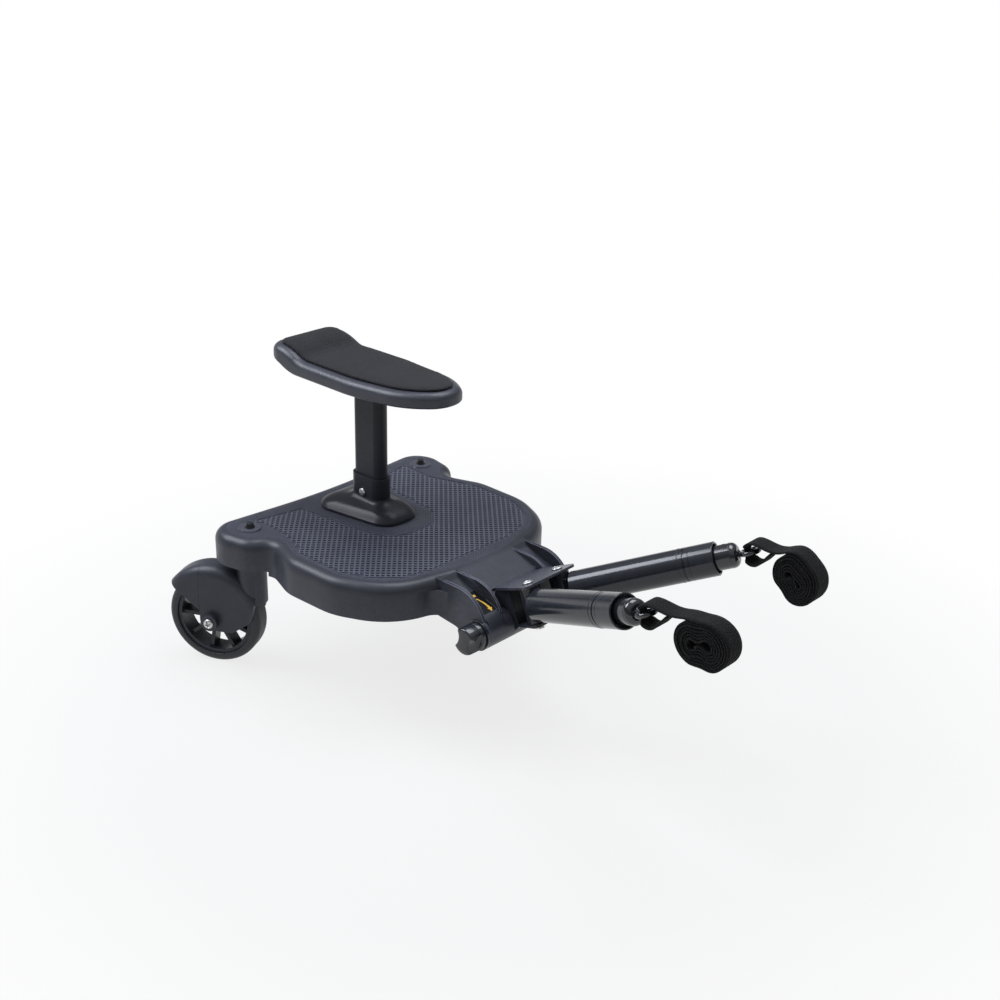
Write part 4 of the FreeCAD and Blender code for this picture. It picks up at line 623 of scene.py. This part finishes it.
def settled(point, middle, outer, shape):
    """Where a point of the turns lies once they are slack: pinched at the core and swollen at the top."""
    lean = math.radians(shape["lean"])
    from_middle = point - middle
    along = from_middle.dot(Vector((math.cos(lean), -math.sin(lean))))
    across = Vector((math.sin(lean), math.cos(lean)))
    side = from_middle.dot(across)
    near = max(0.0, 1.0 - max(0.0, abs(side) - shape["core"] - 1.4) / 14.0)
    pinch = shape["pinch"] * near * math.exp(-((along - shape["pinch_at"]) / 6.5) ** 2)
    share = 1.0 / (1.0 + (from_middle.length / 21.0) ** 4)
    bend = 2.0 * share * math.sin(along / 5.2 + 0.6)
    facing = max(0.0, from_middle.normalized().dot(Vector((0.64, 0.77)))) ** 2
    size = from_middle.length / outer
    swell = shape["swell"] * facing * size ** 2 * math.exp(-max(0.0, size - 1.35) * 3.0)
    wave = noise.noise_vector(Vector((point.x / 26.0, point.y / 26.0, 3.7)))
    return (point + across * (bend - math.copysign(pinch, side)) + from_middle.normalized() * swell
            + Vector((wave.x, wave.y)) * 1.2 * share)


def strap_half_width(spot):
    """Full width but for the few millimetres where the webbing is bunched in the eye."""
    if spot.x > STRAP_LOOP.x:
        return STRAP_WIDTH / 2
    tilt = math.radians(BRACKET_RISE)
    off_plane = abs(spot.y * math.cos(tilt) - spot.x * math.sin(tilt))
    share = min(max((off_plane - 3.4) / 6.0, 0.0), 1.0)
    return STRAP_NECK + (STRAP_WIDTH / 2 - STRAP_NECK) * share * share * (3 - 2 * share)


def make_strap(side):
    """Webbing swept along its line, narrowed where it goes through the eye."""
    shape = STRAPS[side]
    line, middle, outer = strap_line(shape)
    line = [settled(point, middle, outer, shape) for point in line]
    eye = arm_place(side) @ (Vector((EYE_REACH, 0, 0)) * MM)
    half_section = [(0.5, -1.0), (1.0, -0.96), (1.0, -0.62), (1.0, -0.25), (1.0, 0.25), (1.0, 0.62),
                    (1.0, 0.96), (0.5, 1.0)]
    section = half_section + [(-u, -v) for u, v in half_section]
    points, faces, size, travelled = [], [], len(section), 0.0
    for i, spot in enumerate(line):
        before, after = line[max(i - 1, 0)], line[min(i + 1, len(line) - 1)]
        way = (after - before).normalized()
        square = Vector((-way.y, way.x))
        travelled += (spot - before).length
        half = strap_half_width(spot)
        drift = 0.45 * math.sin(travelled / 41.0) + 0.25 * math.sin(travelled / 13.0)
        for u, v in section:
            fuzz = 0.10 * noise.noise(Vector((travelled * 0.45, v * half * 0.45, u)))
            place = spot + square * (u * STRAP_THICKNESS / 2 + fuzz)
            points.append(eye + Vector((place.x, v * half + drift, place.y)) * MM)
    for i in range(len(line) - 1):
        for j in range(size):
            k = (j + 1) % size
            faces.append((i * size + j, (i + 1) * size + j, (i + 1) * size + k, i * size + k))
    faces.append(tuple(range(size)))
    faces.append(tuple(range((len(line) - 1) * size, len(line) * size))[::-1])
    webbing = MATERIALS["strap_webbing"]
    strap = piece("webbing_" + side, points, faces, webbing, "rod_" + side, "strap_webbing")
    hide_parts("strap_" + side)


for side_name in SIDES:
    make_strap(side_name)


# Seat pad

PAD_INSET, PAD_CROWN = 11.5, 1.7
SEAT_PLAN = mirrored([(-136, -56, 26), (18, -58, 150), (106, -47.5, 110), (146, -18, 33)])


def make_pad():
    """Thin foam pad: the solid's form with rounded edges, crowned and slightly uneven on top."""
    source = NODES["seat_pad"].data.copy()
    work = loose("pad_work", source)
    weld = work.modifiers.new("weld", "WELD")
    weld.merge_threshold = 0.00002
    remesh = work.modifiers.new("remesh", "REMESH")
    remesh.mode = "VOXEL"
    remesh.voxel_size = 0.0012
    soften = work.modifiers.new("soften", "SMOOTH")
    soften.factor = 0.5
    soften.iterations = 9
    bpy.context.view_layer.update()
    mesh = baked(work)
    loop = outline(inset(SEAT_PLAN, PAD_INSET))
    spots = [((POST.inverted() @ v.co) / MM).xy for v in mesh.vertices]
    _, gap = inside([tuple(spot) for spot in spots], loop)
    for vertex, spot, space in zip(mesh.vertices, spots, gap):
        up = max(0.0, vertex.normal.z)
        crown = PAD_CROWN * (1 - math.exp(-max(0.0, space - 1.0) / 7.0))
        rumple = 0.16 * noise.noise(Vector((spot.x / 17.0, spot.y / 17.0, 0.3)))
        vertex.co.z += (crown + rumple) * up * MM
    pad = finished("pad_cover", mesh, MATERIALS["seat_fabric"], "deck")
    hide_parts("seat_pad")


make_pad()


# Screws, knob and rings

def cross_prism(place, head, depth, top):
    """Tapered plus-shaped prism that sinks a cross recess into a screw's head."""
    arm, bar = 0.33 * head, 0.09 * head
    plan = [(arm, -bar), (arm, bar), (bar, bar), (bar, arm), (-bar, arm), (-bar, bar)]
    plan += [(-x, -y) for x, y in plan]
    points = []
    for share, height in ((0.55, top - depth), (1.25, top + 1.0)):
        points += [place @ (Vector((x * share, y * share, height)) * MM) for x, y in plan]
    return points, lofted(len(plan), 2)


def cross_screw(place, head, height, shank, length):
    """Mesh of a pan-head screw with a cross recess, its head standing on the place's XY plane."""
    radius = head / 2
    profile = [(shank / 2, -length), (shank / 2, 0.0), (radius * 0.96, 0.0), (radius, height * 0.18),
               (radius, height * 0.42), (radius * 0.93, height * 0.68), (radius * 0.78, height * 0.86),
               (radius * 0.52, height * 0.97), (radius * 0.2, height)]
    work = loose("screw", plain_mesh(*lathe(profile, place, 40)))
    cutter = loose("recess", plain_mesh(*cross_prism(place, head, height * 0.75, height)))
    recess = work.modifiers.new("recess", "BOOLEAN")
    recess.object = cutter
    recess.operation = "DIFFERENCE"
    recess.solver = "EXACT"
    bpy.context.view_layer.update()
    mesh = baked(work)
    bpy.data.objects.remove(cutter)
    return mesh


def joined(meshes):
    whole = bmesh.new()
    for mesh in meshes:
        whole.from_mesh(mesh)
    mesh = bpy.data.meshes.new("joined")
    whole.to_mesh(mesh)
    whole.free()
    return mesh


def screw_piece(name, meshes, body, node):
    obj = finished(name, joined(meshes), MATERIALS["zinc_steel"], body)
    crisp(obj, 35)
    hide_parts(node)


lock_spot = POST @ shift(-2, -13.7, 28) @ turn("X", 90) @ turn("Z", 20)
screw_piece("lock_screw", [cross_screw(lock_spot, 10.4, 2.8, 5.0, 6.2)], "deck", "post_lock_screw")
pivot_spots = [BRACKET @ shift(PIVOT_X, sign * PIVOT_Y, BRACKET_TOP) @ turn("Z", 30 + 50 * sign)
               for sign in SIDES.values()]
screw_piece("pivot_screw_pair", [cross_screw(spot, 13.0, 2.8, 7.0, 55.0) for spot in pivot_spots],
            "bracket", "pivot_screws")
for side_name in SIDES:
    head_spot = wheel_place(side_name) @ shift(0, 0, 30) @ turn("Z", 15)
    screw_piece("axle_screw_" + side_name, [cross_screw(head_spot, 13.0, 3.6, 8.0, 66.0)],
                "caster_" + side_name, "axle_bolt_" + side_name)


KNOB_RADIUS, KNOB_WAIST, KNOB_BASE, KNOB_HEIGHT = 17.0, 8.5, 6.0, 23.0
KNOB_SIDE, KNOB_TURN, GRIP_HALF_ANGLE = 80.9, 80.0, math.radians(46)


def grip_outline():
    """Plan of the knob's grip: two ends on the knob's circle and a waist between two hollow sides."""
    corner = around(Vector((0, 0)), KNOB_RADIUS, GRIP_HALF_ANGLE)
    rise = corner.y - KNOB_WAIST
    hollow = (corner.x ** 2 + rise ** 2) / (2 * rise)
    centre = Vector((0.0, KNOB_WAIST + hollow))
    half_sweep = math.asin(corner.x / hollow)
    half = [around(Vector((0, 0)), KNOB_RADIUS, GRIP_HALF_ANGLE * (i / 8 - 1)) for i in range(17)]
    half += [around(centre, hollow, -math.pi / 2 + half_sweep * (1 - i / 8)) for i in range(1, 16)]
    return half + [-spot for spot in half]


def make_knob():
    """Round clamp knob with a hollow scooped out on each side of its grip."""
    place = HINGE @ shift(0, -KNOB_SIDE, 0) @ turn("X", 90) @ turn("Z", KNOB_TURN)
    grip = grip_outline()
    disc = [spot.normalized() * KNOB_RADIUS for spot in grip]
    rings = [(0.0, 0.0, 0.95), (0.8, 0.0, 1.0), (KNOB_BASE - 0.6, 0.0, 1.0), (KNOB_BASE, 0.06, 0.985),
             (KNOB_BASE + 0.3, 0.45, 0.985), (KNOB_BASE + 1.0, 0.75, 0.985), (KNOB_BASE + 2.4, 0.92, 0.985),
             (KNOB_BASE + 4.5, 1.0, 0.985), (KNOB_HEIGHT - 2.2, 1.0, 0.97), (KNOB_HEIGHT - 0.9, 1.0, 0.94),
             (KNOB_HEIGHT - 0.2, 1.0, 0.87), (KNOB_HEIGHT, 1.0, 0.78)]
    points = []
    for height, share, size in rings:
        for outside, waist in zip(disc, grip):
            spot = outside.lerp(waist, share) * size
            points.append(place @ (Vector((spot.x, spot.y, height)) * MM))
    knob = piece("clamp_knob", points, lofted(len(grip), len(rings)), MATERIALS["knob_plastic"], "knob",
                 "knob_plastic")
    crisp(knob, 42)
    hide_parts("hinge_knob")


make_knob()


def make_rings(side):
    """A fine bead on the tube, the collar's rolled mouth and a bead before the rod's round end."""
    place = arm_place(side) @ turn("Y", 90)
    tube, rod = MATERIALS["tube_plastic"], MATERIALS["rod_plastic"]
    mouth = [ring_tube(18.75, 1.15, 190.7, place), ring_tube(16.4, 0.55, 183.3, place)]
    piece("tube_rings_" + side, *ring_tube(19.9, 0.45, 149.5, place), tube, "arm_" + side, "tube_plastic")
    piece("collar_rings_" + side, *together(mouth), tube, "collar_" + side, "tube_plastic")
    piece("rod_rings_" + side, *ring_tube(14.6, 0.4, 209.0, place), rod, "rod_" + side, "rod_plastic")


for side_name in SIDES:
    make_rings(side_name)


# Neck: its closed troughs, the leaves beside the bracket and the label

TROUGH_TOP, TROUGH_SLOPE = Vector((286.0, -12.4)), 17.15
LABEL_PLACE = BOARD @ shift(TROUGH_TOP.x, -60.5, TROUGH_TOP.y) @ turn("Y", TROUGH_SLOPE)
FILM, PRINT = (-0.05, 0.18), (0.16, 0.26)
RIB_ARCH_CENTRE, RIB_ARCH_RADIUS = Vector((294.0, -45.5)), 44.0
TROUGH_SIDES, LEAF_SIDES, WALL_SIDES = (47.6, 73.4), (44.7, 48.3), (-44.8, 44.8)
LEAF_EDGES, RIB_EDGES, FLOOR_EDGE = (45.1, 47.9), (73.4, 77.6), 48.7
ARROW_START, ARROW_END = 117.0, 83.0


def side_plate(profile, places, sign=1):
    """Points and faces of a plate with a side view in X and Z, between two places in Y."""
    points = [BOARD @ (Vector((x, sign * y, z)) * MM) for y in places for x, z in profile]
    return points, lofted(len(profile), 2)


def bead(line, y, radius):
    """Points and faces of a thin round ridge along a line in X and Z."""
    points, steps = [], 8
    for i, spot in enumerate(line):
        way = (Vector(line[min(i + 1, len(line) - 1)]) - Vector(line[max(i - 1, 0)])).normalized()
        up = Vector((-way.y, way.x))
        for step in range(steps):
            angle = 2 * math.pi * step / steps
            side = Vector(spot) + up * (radius * math.sin(angle))
            points.append(BOARD @ (Vector((side.x, y + radius * math.cos(angle), side.y)) * MM))
    return points, lofted(steps, len(line))


def hinge_arc(radius, first, last):
    """Points of an arc behind the hinge axis, its angles up from level."""
    axis = Vector((HINGE_X, -HINGE_DROP))
    return [tuple(around(axis, radius, math.radians(180 - first - (last - first) * i / 14)))
            for i in range(15)]


def make_neck():
    """Troughs that run down over the hinge, a leaf-shaped rib beside each and a wall behind the bracket."""
    plastic = MATERIALS["deck_plastic"]
    trough = [(261, -4.5), (264, -1.8), (267, -5.2), tuple(TROUGH_TOP), (331, -26.29), (338, -30.5),
              (343.5, -36.5), (346.8, -43.5), (348.1, -50.0), (344, -52), (335, -36), (283, -21), (261, -6.5)]
    arch = [tuple(around(RIB_ARCH_CENTRE, RIB_ARCH_RADIUS, math.radians(90 - 5 * i))) for i in range(19)]
    leaf = [(260, -4.5), (262, -1.5)] + arch + [(322, -48.0), (283, -20.0), (260, -7.5)]
    wall = hinge_arc(46.0, 52, -15) + hinge_arc(44.0, -15, 52)
    ridges = []
    for side, sign in SIDES.items():
        parts = [side_plate(trough, TROUGH_SIDES, sign), side_plate(leaf, LEAF_SIDES, sign)]
        crisp(piece("neck_trough_" + side, *together(parts), plastic, "deck", "deck_plastic"), 32)
        ridges += [bead([(264, -1.5)] + arch[:15], sign * y, 0.45) for y in LEAF_EDGES]
        ridges += [bead([(270, -1.5)] + arch[:16], sign * y, 0.40) for y in RIB_EDGES]
        ridges.append(bead([(266.5, -4.8), (286, -12.2), (331, -26.1)], sign * FLOOR_EDGE, 0.55))
    # The beads' pale colour is a painted highlight along the rib, leaf and trough edges.
    piece("neck_ridges", *together(ridges), RIDGE_PAINTED_HIGHLIGHT, "deck", "deck_plastic")
    crisp(piece("neck_wall", *side_plate(wall, WALL_SIDES), plastic, "deck", "deck_plastic"), 32)


make_neck()


def flat_piece(name, plan, layer, material):
    """Thin film cut to a plan, lying on the floor of a trough of the neck."""
    points = [LABEL_PLACE @ (Vector((x, y, z)) * MM) for z in layer for x, y in plan]
    piece(name, points, lofted(len(plan), 2), material, "deck", smooth=False)


def make_label():
    """Plain black label with a curved arrow and a square."""
    patch = outline([(9, -11, 2), (46.5, -11, 2), (46.5, 11, 2), (9, 11, 2)], 5)
    flat_piece("neck_label", [tuple(p) for p in patch], FILM, LABEL)
    centre, radius = Vector((36.6, -28.7)), 34.0
    rim = []
    for grow, order in ((1.7, range(17)), (-1.7, range(16, -1, -1))):
        for i in order:
            angle = math.radians(ARROW_START + (ARROW_END - ARROW_START) * i / 16)
            swell = 0.35 + 0.65 * i / 16
            rim.append(tuple(around(centre, radius + grow * swell, angle)))
    tip_way = math.radians(ARROW_END)
    head = [tuple(around(centre, radius + grow, tip_way)) for grow in (3.4, -3.4)]
    head.append(tuple(around(centre, radius, tip_way - math.radians(10))))
    flat_piece("neck_arrow", rim, PRINT, YELLOW)
    flat_piece("neck_arrow_head", head, PRINT, YELLOW)
    flat_piece("neck_mark", [(14.5, 1.5), (18.0, 1.5), (18.0, 5.0), (14.5, 5.0)], PRINT, YELLOW)


make_label()


# Camera, light and floor

CAMERA_SPOT, CAMERA_ANGLES, CAMERA_LENS = (1.049686, -1.1618, 0.973066), (42.113, 23.983, 1.511), 52.2


def make_camera():
    """Camera of the photo, from its spot, azimuth, elevation and roll."""
    azimuth, elevation, roll = (math.radians(angle) for angle in CAMERA_ANGLES)
    back = Vector((math.sin(azimuth) * math.cos(elevation), -math.cos(azimuth) * math.cos(elevation),
                   math.sin(elevation)))
    level = Vector((math.cos(azimuth), math.sin(azimuth), 0))
    upright = back.cross(level)
    right = level * math.cos(roll) + upright * math.sin(roll)
    up = upright * math.cos(roll) - level * math.sin(roll)
    data = bpy.data.cameras.new("camera")
    data.sensor_width = 36.0
    data.lens = CAMERA_LENS
    data.clip_end = 100.0
    camera = bpy.data.objects.new("camera", data)
    bpy.context.scene.collection.objects.link(camera)
    place = Matrix((right, up, back)).transposed().to_4x4()
    place.translation = Vector(CAMERA_SPOT)
    camera.matrix_world = place
    bpy.context.scene.camera = camera


def make_lamp(name, spot, aim, size, power, colour=(1.0, 1.0, 1.0)):
    data = bpy.data.lights.new(name, "AREA")
    data.shape = "RECTANGLE"
    data.size, data.size_y = size
    data.energy = power
    data.color = colour
    lamp = bpy.data.objects.new(name, data)
    bpy.context.scene.collection.objects.link(lamp)
    lamp.location = spot
    lamp.rotation_mode = "QUATERNION"
    lamp.rotation_quaternion = (Vector(aim) - Vector(spot)).to_track_quat("-Z", "Y")


def seen(shader, light_path):
    """1 where the camera looks, straight or by a reflection, and 0 for the light that a surface sends on."""
    first = shader.math("MAXIMUM", light_path.outputs["Is Camera Ray"], light_path.outputs["Is Glossy Ray"])
    return shader.math("MAXIMUM", first, light_path.outputs["Is Transmission Ray"])


def make_floor():
    """Pale floor that keeps the shadow near the board and fades into the white backdrop."""
    size = 3.0
    mesh = bpy.data.meshes.new("floor")
    corners = [(-size, -size, 0), (size, -size, 0), (size, size, 0), (-size, size, 0)]
    mesh.from_pydata(corners, [], [(0, 1, 2, 3)])
    shader = Shader("floor_paper")
    grain = shader.noise(3.0, 2.0)
    shader.set(Base_Color=shader.ramp(grain, [(0.3, 0.44), (0.7, 0.46)]), Roughness=0.9,
               Specular_IOR_Level=0.0)
    light_path = shader.add("ShaderNodeLightPath")
    white = shader.add("ShaderNodeEmission")
    paper = shader.add("ShaderNodeMixShader")
    shader.join(shader.math("MULTIPLY", seen(shader, light_path), 0.80), paper.inputs[0])
    shader.join(shader.bsdf.outputs[0], paper.inputs[1])
    shader.join(white.outputs[0], paper.inputs[2])
    away = shader.add("ShaderNodeVectorMath", operation="LENGTH")
    shader.join(shader.where, away.inputs[0])
    fade = shader.add("ShaderNodeMixShader")
    shader.join(shader.math("MULTIPLY", shader.span(away.outputs["Value"], 0.0, 1.0, 0.45, 0.85),
                            light_path.outputs["Is Camera Ray"]), fade.inputs[0])
    clear = shader.add("ShaderNodeBsdfTransparent")
    shader.join(paper.outputs[0], fade.inputs[1])
    shader.join(clear.outputs[0], fade.inputs[2])
    shader.join(fade.outputs[0], shader.tree.nodes["Material Output"].inputs["Surface"])
    mesh.materials.append(shader.material)
    floor = loose("floor", mesh)


def make_world():
    """White up to the horizon, a dark band above it and soft light from overhead."""
    world = bpy.data.worlds.new("studio")
    bpy.context.scene.world = world
    world.use_nodes = True
    nodes, links = world.node_tree.nodes, world.node_tree.links
    coordinates = nodes.new("ShaderNodeTexCoord")
    split = nodes.new("ShaderNodeSeparateXYZ")
    links.new(coordinates.outputs["Generated"], split.inputs[0])
    lift = nodes.new("ShaderNodeMapRange")
    lift.inputs["From Min"].default_value = -1.0
    links.new(split.outputs["Z"], lift.inputs["Value"])
    sky = nodes.new("ShaderNodeValToRGB")
    stops = ((0.53, 1.0), (0.57, 0.16), (0.72, 0.22), (0.95, 0.75))
    while len(sky.color_ramp.elements) < len(stops):
        sky.color_ramp.elements.new(0.5)
    for element, (position, level) in zip(sky.color_ramp.elements, stops):
        element.position = position
        element.color = (level, level, level, 1.0)
    links.new(lift.outputs["Result"], sky.inputs["Fac"])
    links.new(sky.outputs["Color"], nodes["Background"].inputs["Color"])


make_camera()
make_world()
make_floor()
COOL = (0.94, 0.98, 1.08)
make_lamp("softbox", (-1.5, -0.9, 1.95), (-0.1, 0.0, 0.2), (1.2, 1.2), 44.0, COOL)
make_lamp("top", (-0.2, 0.55, 2.35), (-0.1, 0.0, 0.2), (1.5, 1.3), 36.0, COOL)
bpy.context.scene.view_settings.view_transform = "Standard"
